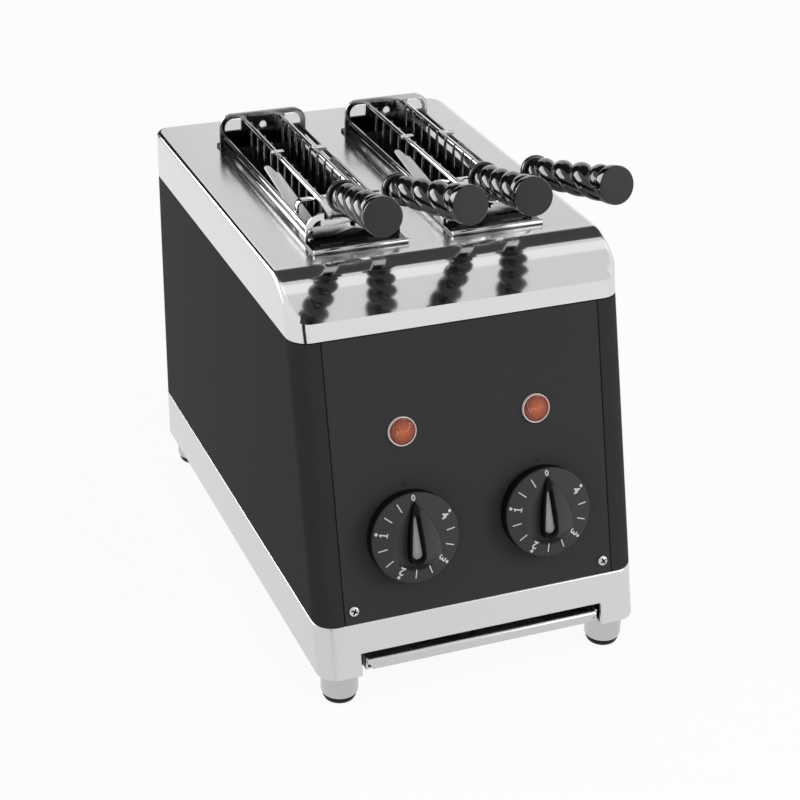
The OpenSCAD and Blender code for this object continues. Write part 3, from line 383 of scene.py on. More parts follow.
# Painted shade: near black for the dial's side wall, its pointer bar and the screws' recesses,
# darker than the dial's plastic
SHADE_BLACK = material("painted_shade_black", 0.005, 0.0, (0.5, 0.62), 2400, 0.05, 0.06, 40, specular=0.08)
PAINT = material("dial_paint", (0.56, 0.56, 0.55), 0.0, (0.5, 0.6), 2600, 0.1, 0.03, 90)
INSERT = material("grey_insert", (0.33, 0.33, 0.335), 0.0, (0.42, 0.52), 1800, 0.06, 0.06, 120,
                  stretch=(1, 0.2, 1))
BEZEL = material("pale_bezel", (0.78, 0.66, 0.62), 0.1, (0.16, 0.26), 900, 0.02, 0.05, 120,
                 coat=0.2)
RUBBER = material("black_rubber", 0.008, 0.0, (0.45, 0.6), 1900, 0.1, 0.1, 60, specular=0.15)
QUARTZ = material("quartz_tube", (0.62, 0.58, 0.52), 0.0, (0.15, 0.25), 400, 0.02, 0.1, 60,
                  stretch=(1, 0.2, 1), coat=0.5)
CERAMIC = material("ceramic", (0.72, 0.69, 0.62), 0.0, (0.55, 0.7), 900, 0.1, 0.06, 60)
WHITE = material("white_plastic", (0.74, 0.74, 0.72), 0.0, (0.4, 0.5), 1200, 0.04, 0.03, 40)
FLOOR = material("studio_floor", 0.93, 0.0, (0.8, 0.9), 300, 0.0, 0.01, 3)
CARD = material("grey_card", 0.08, 0.0, (0.8, 0.9), 300, 0.0, 0.1, 3, specular=0.1)
SCREEN = material("dark_screen", 0.02, 0.0, (0.8, 0.9), 300, 0.0, 0.1, 3, specular=0.1)


def lens_material():
    """Amber plastic: redder and darker at the rim, a lighter glow in the middle."""
    per_metre = 135  # the glow ends 7.4 mm from the middle
    mat = material("amber_lens", (0.36, 0.09, 0.045), 0.0, (0.10, 0.2), 900, 0.05, 0.3, 420,
                   coat=0.1, specular=0.3)
    tree = mat.node_tree
    shader = tree.nodes["Principled BSDF"]
    ball = tree.nodes.new("ShaderNodeTexGradient")
    ball.gradient_type = "SPHERICAL"
    tree.links.new(scaled(tree, (per_metre,) * 3), ball.inputs["Vector"])
    ramp = tree.nodes.new("ShaderNodeValToRGB")
    rim, middle = ramp.color_ramp.elements
    rim.color, middle.color = (0.15, 0.034, 0.022, 1), (0.47, 0.112, 0.04, 1)
    middle.position = 0.6
    tree.links.new(ball.outputs["Fac"], ramp.inputs["Fac"])
    tree.links.new(ramp.outputs["Color"], shader.inputs["Base Color"])
    shader.inputs["Emission Color"].default_value = (0.8, 0.16, 0.05, 1)
    shader.inputs["Emission Strength"].default_value = 0.03
    return mat


def heated_steel(name, dark_to, bright_from, bright):
    """Plate at a slot's end: bright at its arch and darker towards its foot, a painted shade."""
    shade, foot_shade = (bright, bright, bright), (0.03, 0.03, 0.032)
    mat = material(name, shade, 1.0, (0.13, 0.22), 420, 0.02, 0.05, 40)
    tree = mat.node_tree
    base_colour(tree, along(tree, "Z", TOP_Z + dark_to, TOP_Z + bright_from, 0, 1), foot_shade, shade)
    return mat


LENS = lens_material()
FRONT_STEEL = heated_steel("front_steel", dark_to=4, bright_from=11, bright=0.66)
REAR_STEEL = heated_steel("rear_steel", dark_to=9, bright_from=20, bright=0.50)


# Body outlines

def outline(z, inset, steps=10, rows=()):
    """Plan of the body at a height, moved in by inset, from the front left corner on."""
    w, r = HALF_W - inset, max(CORNER_R - inset, 0.5)
    ry = r / math.cos(LEAN)
    y0, y1 = front_y(z) + inset / math.cos(LEAN), BACK - inset
    points = []
    for x, y, vertical, start in ((-w + r, y0 + ry, ry, 180), (w - r, y0 + ry, ry, 270),
                                  (w - r, y1 - r, r, 0), (-w + r, y1 - r, r, 90)):
        for k in range(steps + 1):
            t = math.radians(start + 90 * k / steps)
            points.append((x + r * math.cos(t), y + vertical * math.sin(t)))
        if start == 270:
            points += [(w, row) for row in rows]
        if start == 90:
            points += [(-w, row) for row in reversed(rows)]
    return points


def hollow_block(z0, z1, wall):
    """Upright ring of the body's outline between two heights."""
    corners = ((z0, 0), (z1, 0), (z1, wall), (z0, wall), (z0, 0))
    return loft([level(outline(z, inset), z) for z, inset in corners], False, False)


def on_panel(x, z):
    """Places a shape on the front panel: +z out of it, +y up along it."""
    s, c = math.sin(LEAN), math.cos(LEAN)
    return Matrix(((1, 0, 0, x), (0, s, -c, front_y(z)), (0, c, s, z), (0, 0, 0, 1)))


# Base, case and panel

BASE_WALL, MOUTH_HALF, MOUTH_TOP = 3.0, 75.5, BASE_Z + 13
mouth = box(-MOUTH_HALF, MOUTH_HALF, FRONT - 9, FRONT + 9, BASE_Z - 4, MOUTH_TOP)
base = cut(hollow_block(BASE_Z, CASE_Z, BASE_WALL), mouth)
piece("base_skirt", base, BASE, ROOT, "base_casting", bevel=1.1, segments=4)


def case_shape():
    """Sheet round the sides and the back, with a front edge on each side of the panel."""
    edge = PANEL_HALF + 0.4
    rings = []
    for z in (CASE_Z + SEAM, COVER_Z - SEAM):
        loops = []
        for inset in (0, SHEET_T):
            points, y = outline(z, inset), front_y(z) + inset / math.cos(LEAN)
            half = len(points) // 4
            loops.append([(edge, y)] + points[half:] + points[:half] + [(-edge, y)])
        rings.append(level(loops[0] + loops[1][::-1], z))
    return loft(rings)


def panel_shape():
    corners = ((-PANEL_HALF, 0), (PANEL_HALF, 0), (PANEL_HALF, SHEET_T), (-PANEL_HALF, SHEET_T))
    return loft([[(x, front_y(z) + deep / math.cos(LEAN), z) for x, deep in corners]
                 for z in (CASE_Z + SEAM, COVER_Z - SEAM)])


piece("case_wrap", case_shape(), SHADED_COAT, ROOT, "black_coating", bevel=0.45)
piece("front_panel", panel_shape(), COAT, ROOT, "black_coating", bevel=0.55)
MARK_UP = 30.2
mark = shifted(revolve([(1.7, -0.3), (1.6, 0.15), (1.3, 0.42), (0.8, 0.5)], 32), 0, MARK_UP, 0)
for side, hand in HANDS:
    piece(hand + "_index_mark", moved(mark, on_panel(side * CONTROL_X, KNOB_Z)), COAT, ROOT,
          "black_coating", sharp=60)


def cross(length, width, z0, z1):
    """Two bars that cross, from the halves of their length and width."""
    return [box(-x, x, -y, y, z0, z1) for x, y in ((length, width), (width, length))]


SCREW_TURN = 0.5
screw_head = revolve([(1.5, -8), (1.5, 0), (3.1, 0), (3.1, 0.8), (2.9, 1.3), (2.3, 1.75),
                      (1.2, 2.0), (0.3, 2.05)], 40)
screw = cut(screw_head, *cross(length=1.9, width=0.5, z0=0.7, z1=4))
# Dark crosses at the bottom of the screws' recesses: painted shade
recess = joined(*cross(length=1.85, width=0.48, z0=0.6, z1=0.95))
screw_spots = [on_panel(side * SCREW_X, SCREW_Z) @ Matrix.Rotation(SCREW_TURN * side, 4, "Z")
               for side, hand in HANDS]
piece("panel_screws", joined(*[moved(screw, spot) for spot in screw_spots]), BRIGHT, ROOT,
      "bright_steel", sharp=40)
piece("screw_recesses", joined(*[moved(recess, spot) for spot in screw_spots]), SHADE_BLACK, ROOT,
      "bright_steel")


# Top cover: a skirt, a sheet over the top and the nose, and the lips of the slots

NOSE_RUN, NOSE_STEPS, DROP, BEND = 35.0, 30, TOP_Z - RIM_Z, 1.5
NOSE_Y = front_y(RIM_Z) + NOSE_RUN
NOSE_ROWS = [NOSE_Y - NOSE_RUN * k / NOSE_STEPS for k in range(NOSE_STEPS, -1, -1)]
FLAT_ROWS = [NOSE_Y + 2, NOSE_Y + 7]
SIDE_ROWS = ([y for y in NOSE_ROWS if y > front_y(RIM_Z) + CORNER_R * 1.15] + FLAT_ROWS
             + [0, 60, BACK - 20])
FILLET, FILLET_STEPS, CORNER_STEPS = 2.6, 6, 12
HEM_Z, COVER_WALL, SHEET_IN = COVER_Z + 0.6, 1.2, FILLET + 0.7
CREASE_RING, NOSE_COLUMNS = 5, range(8, 17)
LIP = ((1.2, 0), (0.6, 0), (0.3, 0.08), (0.1, 0.3), (0, 0.6), (0, 5), (0.6, 5))
LIP_OUT = LIP[0][0]


def nose_part(y):
    """0 where the nose leaves the top, 1 at its crease."""
    return min(max((NOSE_Y - y) / NOSE_RUN, 0), 1)


def nose_slope(y):
    """Fall of the nose, which bends most where it leaves the top and least at its crease."""
    return (BEND + 1) / BEND * DROP / NOSE_RUN * (1 - (1 - nose_part(y)) ** BEND)


def top_height(y):
    """Height of the cover: the slope of the nose, summed up."""
    u = nose_part(y)
    return TOP_Z - DROP * (BEND + 1) / BEND * (u - (1 - (1 - u) ** (BEND + 1)) / (BEND + 1))


def top_normal(p):
    return Vector((0, -nose_slope(p.y), 1)).normalized()


def plan(z, inset):
    return outline(z, inset, CORNER_STEPS, SIDE_ROWS)


def fillet_share(index):
    """How far the fillet holds at a point of the plan: fully except along the front."""
    corner, step = divmod(index, CORNER_STEPS + 1)
    turn = math.radians(90 * step / CORNER_STEPS)
    return max(0.03, (math.cos(turn), math.sin(turn))[corner] ** 2) if corner < 2 else 1.0


def cover_skirt():
    """Rings from the hem to the sheet: the skirt, and the strip above the crease."""
    low, edge = plan(HEM_Z, 0), plan(RIM_Z, 0)
    tops = [top_height(y) - FILLET * fillet_share(i) for i, (x, y) in enumerate(edge)]
    rings = [level(plan(COVER_Z, COVER_WALL), COVER_Z + SEAM),
             level(plan(COVER_Z, 0.35), COVER_Z + SEAM), level(plan(COVER_Z, 0), HEM_Z)]
    for t in (0.34, 0.67, 1.0):
        rings.append([(x0 + (x1 - x0) * t, y0 + (y1 - y0) * t, HEM_Z + (z - HEM_Z) * t)
                      for (x0, y0), (x1, y1), z in zip(low, edge, tops)])
    for k in range(1, FILLET_STEPS + 1):
        a = math.radians(90 * k / FILLET_STEPS)
        points = plan(RIM_Z, FILLET * (1 - math.cos(a)))
        rings.append([(x, y, top_height(y) - FILLET * fillet_share(i) * (1 - math.sin(a)))
                      for i, (x, y) in enumerate(points)])
    rings.append([(x, y, top_height(y)) for x, y in plan(RIM_Z, SHEET_IN)])
    points, faces = loft(rings, False, False)
    parted = [], []
    for face in faces:
        ring, column = divmod(face[0], len(edge))
        parted[ring >= CREASE_RING and column in NOSE_COLUMNS].append(face)
    return [used(points, part) for part in parted]


def slot_loop(side, outset):
    """Outline of a slot, moved out by outset."""
    x0, x1 = side * SLOT_X - SLOT_W / 2 - outset, side * SLOT_X + SLOT_W / 2 + outset
    y0, y1, r = SLOT_Y0 - outset, SLOT_Y1 + outset, 1.5 + outset
    return (arc(x0 + r, y0 + r, r, 180, 270, 4) + arc(x1 - r, y0 + r, r, 270, 360, 4)
            + arc(x1 - r, y1 - r, r, 0, 90, 4) + arc(x0 + r, y1 - r, r, 90, 180, 4))


def cover_sheet():
    """Sheet inside the skirt, with the slots' holes and rows down the nose."""
    points, edges = [], []
    for loop in (plan(RIM_Z, SHEET_IN), slot_loop(-1, LIP_OUT), slot_loop(1, LIP_OUT)):
        first, count = len(points), len(loop)
        points += loop
        edges += [(first + k, first + (k + 1) % count) for k in range(count)]
    inset = SHEET_IN + 0.1
    reach, r = HALF_W - inset, CORNER_R - inset
    for row in NOSE_ROWS[2:] + FLAT_ROWS:
        into = row - front_y(RIM_Z) - inset / math.cos(LEAN)
        if into < 0.3:
            continue
        width = reach
        if into < r:
            width = reach - r + math.sqrt(max(r ** 2 - (r - into) ** 2, 0))
        edges.append((len(points), len(points) + 1))
        points += [(-width, row), (width, row)]
    places, _, triangles, *_ = delaunay_2d_cdt([Vector(p) for p in points], edges, [], 1, 1e-5)

    def in_slot(face):
        x = sum(places[i].x for i in face) / len(face)
        y = sum(places[i].y for i in face) / len(face)
        out = LIP_OUT - 0.01
        return (abs(abs(x) - SLOT_X) < SLOT_W / 2 + out
                and SLOT_Y0 - out < y < SLOT_Y1 + out)
    return ([(p.x, p.y, top_height(p.y)) for p in places],
            [tuple(face) for face in triangles if not in_slot(face)])


skirt, nose_strip = cover_skirt()
lips = [loft([level(slot_loop(side, out), TOP_Z - deep) for out, deep in LIP], False, False)
        for side, hand in HANDS]
# The nose is a clearer mirror than the top behind it
COVER.node_tree.links.new(along(COVER.node_tree, "Y", NOSE_Y - 8, NOSE_Y + 4, 0.08, 0.2),
                          COVER.node_tree.nodes["Principled BSDF"].inputs["Roughness"])
piece("top_cover", skirt, LIT_SKIRT, ROOT, "polished_steel", sharp=40)
piece("slot_lips", joined(*lips), NEAR_BLACK, ROOT, "polished_steel", sharp=40)
piece("top_cover_sheet", joined(cover_sheet(), nose_strip), COVER, ROOT, "polished_steel",
      normals=top_normal)


# Feet

FOOT_X, FOOT_IN = 84.5, 15.5
cup = revolve([(11.0, BASE_Z), (11.0, 8.2), (10.8, 6.6), (10.3, 5.6), (9.6, 5.0), (4, 5.0)])
pad = revolve([(8.2, 5.6), (9.7, 5.4), (9.95, 4.6), (9.7, 3.2), (8.9, 1.7), (7.4, 0.6),
               (5.2, 0.1), (3, 0.0)])
foot_spots = [(x, y) for x in (-FOOT_X, FOOT_X) for y in (FRONT + FOOT_IN, BACK - FOOT_IN)]
piece("feet", joined(*[shifted(cup, x, y, 0) for x, y in foot_spots]), SHADED_FOOT, ROOT,
      "base_casting", sharp=50)
piece("foot_pads", joined(*[shifted(pad, x, y, 0) for x, y in foot_spots]), RUBBER, ROOT,
      "black_rubber")


# Slot frames and guard rods

ROD_X, ROD_R, BORE_R = FRAME_W / 2 - 2.5, 1.5, 0.98
ROD_SPOTS = [(x, z) for x in (-ROD_X, ROD_X) for z in (4, 9)]
STAND = Matrix(((1, 0, 0, 0), (0, 0, -1, 0), (0, 1, 0, 0), (0, 0, 0, 1)))


def standing(shape, y, z):
    """Turns a flat shape upright, facing the front."""
    return moved(shape, Matrix.Translation((0, y, z)) @ STAND)


def arch(h, x0, y0, hole, top=()):
    """Plate with round shoulders, windows from x0, y0 on, a round hole and a given top edge."""
    half, y = FRAME_W / 2, h - FRAME_R
    edge = ([(half, 0)] + arc(half - FRAME_R, y, FRAME_R, 0, 90) + list(top)
            + arc(-half + FRAME_R, y, FRAME_R, 90, 180) + [(-half, 0)])
    x1, y1, r = half - FRAME_BAND, h - FRAME_BAND, FRAME_R - FRAME_BAND
    window = [(x0, y0), (x1, y0)] + arc(x1 - r, y1 - r, r, 0, 90) + [(x0, y1)]
    return plate([edge, window, [(-x, y) for x, y in window], circle(0, *hole)], FRAME_T, 0.3)


def rear_plate():
    depth, r, half = 6.8, 2, FRAME_W / 2
    y = REAR_PLATE_Y + FRAME_T / 2
    foot = plate([[(-half, 0), (half, 0), (half, 6)] + arc(half - r, depth, r, 0, 90)
                  + arc(-half + r, depth, r, 90, 180)], FRAME_T, 0.3)
    return joined(standing(arch(h=23.0, x0=14.6, y0=12.0, hole=(14, 2.25)), y, TOP_Z),
                  shifted(foot, 0, y, TOP_Z + FRAME_T / 2))


def front_plate():
    """Upright with a notch for the tong, the flat apron and its roll."""
    half, h, apron, curl, notch, floor = FRAME_W / 2, 18.5, 13.0, 1.5, 17.5, 14.4
    top = ((notch, h), (notch, floor), (-notch, floor), (-notch, h))
    upright = standing(arch(h, notch + 1.5, 10.5, (floor - 4, 2), top),
                       FRONT_PLATE_Y + FRAME_T / 2, TOP_Z)
    y0, y1, reach = -apron + 5.2, -apron + 9.5, 7.1
    slots = [[(x - reach, y0), (x + reach, y0), (x + reach, y1), (x - reach, y1)]
             for x in (-half / 2, half / 2)]
    edge = [(-half, -apron), (half, -apron), (half, 0.8), (-half, 0.8)]
    flat = shifted(plate([edge] + slots, FRAME_T, 0.4), 0, FRONT_PLATE_Y, TOP_Z + FRAME_T / 2)
    roll = loft([[(x, FRONT_PLATE_Y - apron + y, TOP_Z + curl + z)
                  for y, z in circle(0, 0, curl * k)]
                 for x, k in ((-half + 0.1, 0.85), (-half + 0.5, 1), (half - 0.5, 1),
                              (half - 0.1, 0.85))])
    return upright, flat, roll


rear, (front, apron, apron_roll) = rear_plate(), front_plate()
rods = joined(*[tube([(x, y, TOP_Z + z) for y in (FRONT_PLATE_Y - 1.0, 0, REAR_PLATE_Y + 2.6)],
                     ROD_R, 20) for x, z in ROD_SPOTS])
# Dark discs on the rods' front ends: painted shade for their bores
bore_shades = joined(*[standing(plate([circle(x, z, BORE_R)], 0.7, 0.05), FRONT_PLATE_Y - 1.87, TOP_Z)
                 for x, z in ROD_SPOTS])
for side, hand in HANDS:
    for name, shape, finish, slot in (
            ("_slot_frame", rear, REAR_STEEL, "polished_steel"),
            ("_slot_front", front, FRONT_STEEL, "polished_steel"),
            ("_slot_apron", apron, APRON, "polished_steel"),
            ("_apron_roll", apron_roll, SHADED_CHROME, "polished_steel"),
            ("_guard_rods", rods, SHADED_CHROME, "chromed_wire"),
            ("_rod_bore_shades", bore_shades, NEAR_BLACK, "chromed_wire")):
        piece(hand + name, shifted(shape, side * SLOT_X, 0, 0), finish, ROOT, slot)


# Timer knobs, drawn about their own axis

KNOB_R, KNOB_GAP, WALL_TOP, KNOB_RIM, FACE, TOP = 26.25, 1.2, 8.6, 10.0, 12.2, 12.8
CONE_R, FLAT_R = 25.45, 13.5
HOLLOW_R, HOLLOW_HALF, HOLLOW_LOW, HOLLOW_DEEP = 19.6, 14.6, -16.0, 5.0
BAR_R, BAR_LOW, BAR_TIP, BAR_TIP_HALF = 4.7, -15.5, 21.0, 0.67
STRIP_R, STRIP_TIP_R, STRIP_Y, STRIP_L = 2.94, 0.73, -9.67, 21.6
MARK_T, MARK_EDGE, MARK_TURN = 0.12, 0.02, 25


def face_height(r):
    """Height of the dial's cone above the panel."""
    return KNOB_RIM + (CONE_R - max(r, FLAT_R)) / (CONE_R - FLAT_R) * (FACE - KNOB_RIM)


def hollow_half(y):
    """Half width of the finger hollow, pointed above and wide below."""
    along_it = min(max((y - HOLLOW_LOW) / (BAR_TIP - HOLLOW_LOW), 0), 1)
    return HOLLOW_HALF * (1 - along_it ** 2.6)


def dial_height(x, y):
    """Height of the dial's face, with the hollow that ends inside the numbers."""
    r, half = math.hypot(x, y), hollow_half(y)
    if abs(x) >= half or (y < 0 and r > HOLLOW_R):
        return face_height(r)
    end = min((HOLLOW_R - r) / 2.5, 1) if y < 0 else 1
    deep = HOLLOW_DEEP * (half / HOLLOW_HALF) ** 0.7 * (1 - (x / half) ** 2)
    return face_height(r) - deep * end * end * (3 - 2 * end)


def dial_shape():
    """The face with its rounded rim, and the wall below it."""
    n, step = 144, 0.42
    rings = turned([(KNOB_R, WALL_TOP), (KNOB_R, 9.3), (26.15, 9.65), (25.85, 9.9)], n)
    r = CONE_R
    while r > 0.4:
        rings.append([(x, y, dial_height(x, y)) for x, y in circle(0, 0, r, n)])
        r -= step
    wall = revolve([(12, KNOB_GAP), (25.85, KNOB_GAP), (26.1, KNOB_GAP + 0.1),
                    (KNOB_R, KNOB_GAP + 0.4), (KNOB_R, WALL_TOP)], n, True, False)
    return loft(rings, False), wall


def cheek_shape():
    """Side of the finger hollow, drawn lighter than the dial: painted light."""
    low, length, rows, columns = -17.0, 35.0, 48, 16
    points = []
    for k in range(rows + 1):
        y = low + length * k / rows
        near = bar_half(max(y, BAR_LOW)) + 1.1
        far = min(hollow_half(y), math.sqrt((HOLLOW_R - 0.2) ** 2 - min(y, 0) ** 2)) - 0.15
        for j in range(columns + 1):
            x = near + max(far - near, 0.02) * j / columns
            points.append((x, y, dial_height(x, y) + 0.05))
    corners = [(columns + 1) * k + j for k in range(rows) for j in range(columns)]
    return points, [(c, c + 1, c + columns + 2, c + columns + 1) for c in corners]


def bar_half(y):
    """Half width of the pointer bar: round below, then bent to its tip."""
    end = BAR_R + BAR_LOW
    if y < end:
        return math.sqrt(max(BAR_R ** 2 - (y - end) ** 2, 0))
    run, fall = BAR_TIP - end, BAR_R - BAR_TIP_HALF
    bend_r = (run ** 2 + fall ** 2) / (2 * fall)
    return BAR_R - bend_r + math.sqrt(bend_r ** 2 - (y - end) ** 2)


def strip_half(y, grow):
    """Half width of the grey strip: a drop shape between two circles."""
    r, tip = STRIP_R + grow, STRIP_TIP_R + grow
    lean = math.asin((r - tip) / STRIP_L)
    y -= STRIP_Y
    low, high = r * math.sin(lean), STRIP_L + tip * math.sin(lean)
    if y < low:
        return math.sqrt(max(r ** 2 - y ** 2, 0))
    if y > high:
        return math.sqrt(max(tip ** 2 - (y - STRIP_L) ** 2, 0))
    return (r + (tip - r) * (y - low) / (high - low)) * math.cos(lean)


def leaf_ring(half, low, high, z, steps=40):
    """Ring of a shape that is even about its y axis, from its half width."""
    ys = [low + (high - low) * (1 - math.cos(math.pi * (k + 0.5) / steps)) / 2
          for k in range(steps)]
    return [(half(y), y, z) for y in ys] + [(-half(y), y, z) for y in reversed(ys)]


def bar_ring(inset, z):
    length = BAR_TIP - BAR_LOW

    def half(y):
        full = BAR_LOW + (y - BAR_LOW - inset) * length / (length - 2 * inset)
        return max(bar_half(full) - inset, 0.1)
    return leaf_ring(half, BAR_LOW + inset, BAR_TIP - inset, z)


def strip_ring(grow, z):
    return leaf_ring(lambda y: strip_half(y, grow), STRIP_Y - STRIP_R - grow,
                     STRIP_Y + STRIP_L + STRIP_TIP_R + grow, z)


def bar_shape():
    """The pointer bar, with a groove for the grey strip."""
    sides = ((-0.9, 5.5), (-0.35, 7.6), (-0.1, 9.2), (0, 10.6), (0, TOP - 0.45),
             (0.1, TOP - 0.15), (0.3, TOP))
    groove = ((1.09, 0), (0.9, 0.25), (0.12, 2.4), (0.05, 3.6))
    return loft([bar_ring(inset, z) for inset, z in sides]
                + [strip_ring(grow, TOP - deep) for grow, deep in groove])


def dial_marks():
    """Numbers with dots and the ticks between them, laid on the dial's cone."""
    slope = Matrix.Rotation(-math.atan2(FACE - KNOB_RIM, CONE_R - FLAT_R), 4, "X")
    shapes = []

    def add(shape, step, radius):
        turn = Matrix.Rotation(math.radians(MARK_TURN * step), 4, "Z")
        up = Matrix.Translation((0, radius, face_height(radius) + 0.05))
        shapes.append(moved(shape, turn @ up @ slope))
    tick = plate([arc(0, 2.45, 0.33, 0, 180, 6) + arc(0, -2.45, 0.33, 180, 360, 6)],
                 MARK_T, MARK_EDGE)
    dot = plate([circle(0, 0, 0.95)], MARK_T, MARK_EDGE)
    one = plate([[(-1.3, -2.5), (1.3, -2.5), (1.3, -1.9), (0.4, -1.9), (0.4, 2.5), (-0.2, 2.5),
                  (-1.3, 1.7), (-1.3, 1.1), (-0.4, 1.6), (-0.4, -1.9), (-1.3, -1.9)]],
                MARK_T, MARK_EDGE)
    add(numeral("0", 4.6), 0, 23.4)
    for step in range(1, 13):
        number, between = divmod(step, 3)
        if between:
            add(tick, step, 20.9)
        else:
            add(numeral(str(number), 6.9) if number > 1 else one, step, 20.2)
            add(dot, step, 24.4)
    return joined(*shapes)


(dial, wall), marks = dial_shape(), dial_marks()
bar, lit_cheek = bar_shape(), cheek_shape()
insert = loft([strip_ring(grow, TOP - deep) for grow, deep in
               ((-0.02, 3.4), (-0.02, 2.6), (-0.25, 2.44))])
for side, hand in HANDS:
    spot, body = on_panel(side * CONTROL_X, KNOB_Z), hand + "_knob"
    # The lit cheek is painted light; the near black of the wall and the bar is painted shade
    for name, shape, finish, sharp in (("_knob", dial, DIAL, 50), ("_knob_wall", wall, SHADE_BLACK, 50),
                                       ("_knob_lit_cheek", lit_cheek, LIT_CHEEK, 35),
                                       ("_knob_bar", bar, SHADE_BLACK, 45)):
        piece(hand + name, moved(shape, spot), finish, body, "black_dial", sharp)
    piece(hand + "_dial_marks", moved(marks, spot), PAINT, body, "black_dial", flat=True)
    piece(hand + "_knob_pointer", moved(insert, spot), INSERT, body, "grey_insert")


# Lamps

def lens_shape():
    """Low dome of facets, each ring turned half a step from the last."""
    n, facet, rings = 16, 0.16, []
    for k, (r, z) in enumerate(((7.75, 0.1), (7.7, 1.1), (6.6, 1.9), (5.1, 2.35), (3.8, 2.6),
                                (2.4, 2.75), (1.0, 2.8))):
        angles = [2 * math.pi * (j + k / 2) / n for j in range(n)]
        rings.append([(r * math.cos(a), r * math.sin(a), z + facet * (-1) ** (j + k) * (1 < k < 6))
                      for j, a in enumerate(angles)])
    points, faces = loft(rings)
    split = []
    for face in faces:
        split += [face] if len(face) != 4 else [face[:3], (face[0], face[2], face[3])]
    return points, split


lens = lens_shape()
bezel = revolve([(7.7, 0.2), (8.5, 0.0), (8.5, 0.8), (8.45, 1.25), (8.3, 1.6), (8.1, 1.7),
                 (7.85, 1.55), (7.7, 1.2)], 72, False, False)
for side, hand in HANDS:
    spot = on_panel(side * CONTROL_X, LAMP_Z)
    piece(hand + "_lamp_bezel", moved(bezel, spot), BEZEL, ROOT, "pale_bezel", sharp=60)
    # The lens keeps its own axes, since its glow is drawn about its middle
    piece(hand + "_lamp_lens", lens, LENS, ROOT, "amber_lens", flat=True, spot=spot)


# Crumb tray

def tray_shape():
    half, h, lip_h, length, wall = 73.0, 7.5, 5.8, 262.0, 1.2
    z = 24.5
    y = front_y(z) + 2.2
    floor = plate([[(-half, 0), (half, 0), (half, length), (-half, length)]], wall, 0.3)
    sides = [box(x, x + wall, y, y + length, z, z + h) for x in (-half, half - wall)]
    end = box(-half, half, y + length - wall, y + length, z, z + h)
    lip = plate([[(-half + 4, 0), (half - 4, 0), (half - 0.6, lip_h), (-half + 0.6, lip_h)]],
                2.6, 0.9)
    hem = tube([(x, y - 0.1, z + lip_h - 0.6) for x in (-half + 1.6, 0, half - 1.6)], 1.75, 20)
    return joined(shifted(floor, 0, y, z + wall / 2), end, standing(lip, y - 0.3, z), hem, *sides)


piece("crumb_tray", tray_shape(), TRAY, "crumb_tray", "bright_steel")


# Cable gland

gland = revolve([(4, -8), (6.5, -8), (6.5, 0), (9.6, 0), (10, 0.5), (10, 2.2), (9.6, 2.7),
                 (8.6, 3.0), (8.2, 4.0), (7.6, 4.4), (7.4, 5.4), (6.9, 5.8), (6.7, 7.4),
                 (6.2, 8.0), (4.4, 8.0), (4.0, 7.6), (4.0, -8)], 56, False, False)
GLAND_Z = CASE_Z + 20
gland_spot = Matrix.Translation((0, BACK, GLAND_Z)) @ Matrix.Rotation(-math.pi / 2, 4, "X")
piece("cable_gland", moved(gland, gland_spot), DIAL, ROOT, "black_dial", sharp=50)


# Tongs, drawn for the right arm at x = 0

SPLAY, TILT = math.radians(5.8), math.radians(14)
TANG_HALF, TANG_T, TANG_EDGE = 4.0, 2.5, 0.5
TANG_X = RAIL_X + 16 * math.tan(SPLAY)
HANDLE_X = TANG_X + 20 * math.tan(SPLAY)
HANDLE_Z = TANG_Z + TANG_T / 2 + 17
GRIP_Z0, GRIP_Z1, GRIP_R, GRIP_GROW = 3.6, 80.4, 6.85, 0.24
GRID_Y0, GRID_Y1, GRID_H = SLOT_Y0 + 8, REAR_PLATE_Y - 0.3 - 8, 136
WIRE_STEP = (GRID_Y1 - GRID_Y0) / (WIRE_COUNT - 1)
BRIDGE_Y, BRIDGE_HALF, BRIDGE_H, BRIDGE_T = GRID_Y0 + 1.5 * WIRE_STEP, 24.1, 16.1, 1.2


def handle_spot(side):
    return (Matrix.Translation((side * HANDLE_X, PIVOT_Y - 20, HANDLE_Z))
            @ Matrix.Rotation(side * SPLAY, 4, "Z") @ Matrix.Rotation(math.pi / 2 - TILT, 4, "X"))


def handle_grip():
    """Flange, twisted grip of two lobes that thickens outwards, and the collar of its end."""
    n, slices, turns = 72, 150, 2
    flange = ((5, 0), (8.4, 0), (9.0, 0.35), (9.25, 1.0), (9.25, 2.9), (9.0, 3.6), (8.2, 4.0))
    collar = ((9.4, 80.5), (10.1, 80.7), (10.45, 81.2), (10.5, 82.2), (10.5, 86.0), (10.35, 86.6),
              (10.0, 86.9))
    rings = turned(flange, n)
    for k in range(slices + 1):
        t = k / slices
        z, grow = GRIP_Z0 + (GRIP_Z1 - GRIP_Z0) * t, 1 + GRIP_GROW * t
        fade = min(1, t * 12, (1 - t) * 14)
        ring = []
        for j in range(n):
            a = 2 * math.pi * j / n
            lobe = 2 * abs(math.cos(a - 2 * math.pi * turns * t)) ** 0.6 - 1.15
            r = GRIP_R * grow + 1.65 * grow * lobe * fade
            ring.append((r * math.cos(a), r * math.sin(a), z))
        rings.append(ring)
    return loft(rings + turned(collar, n))


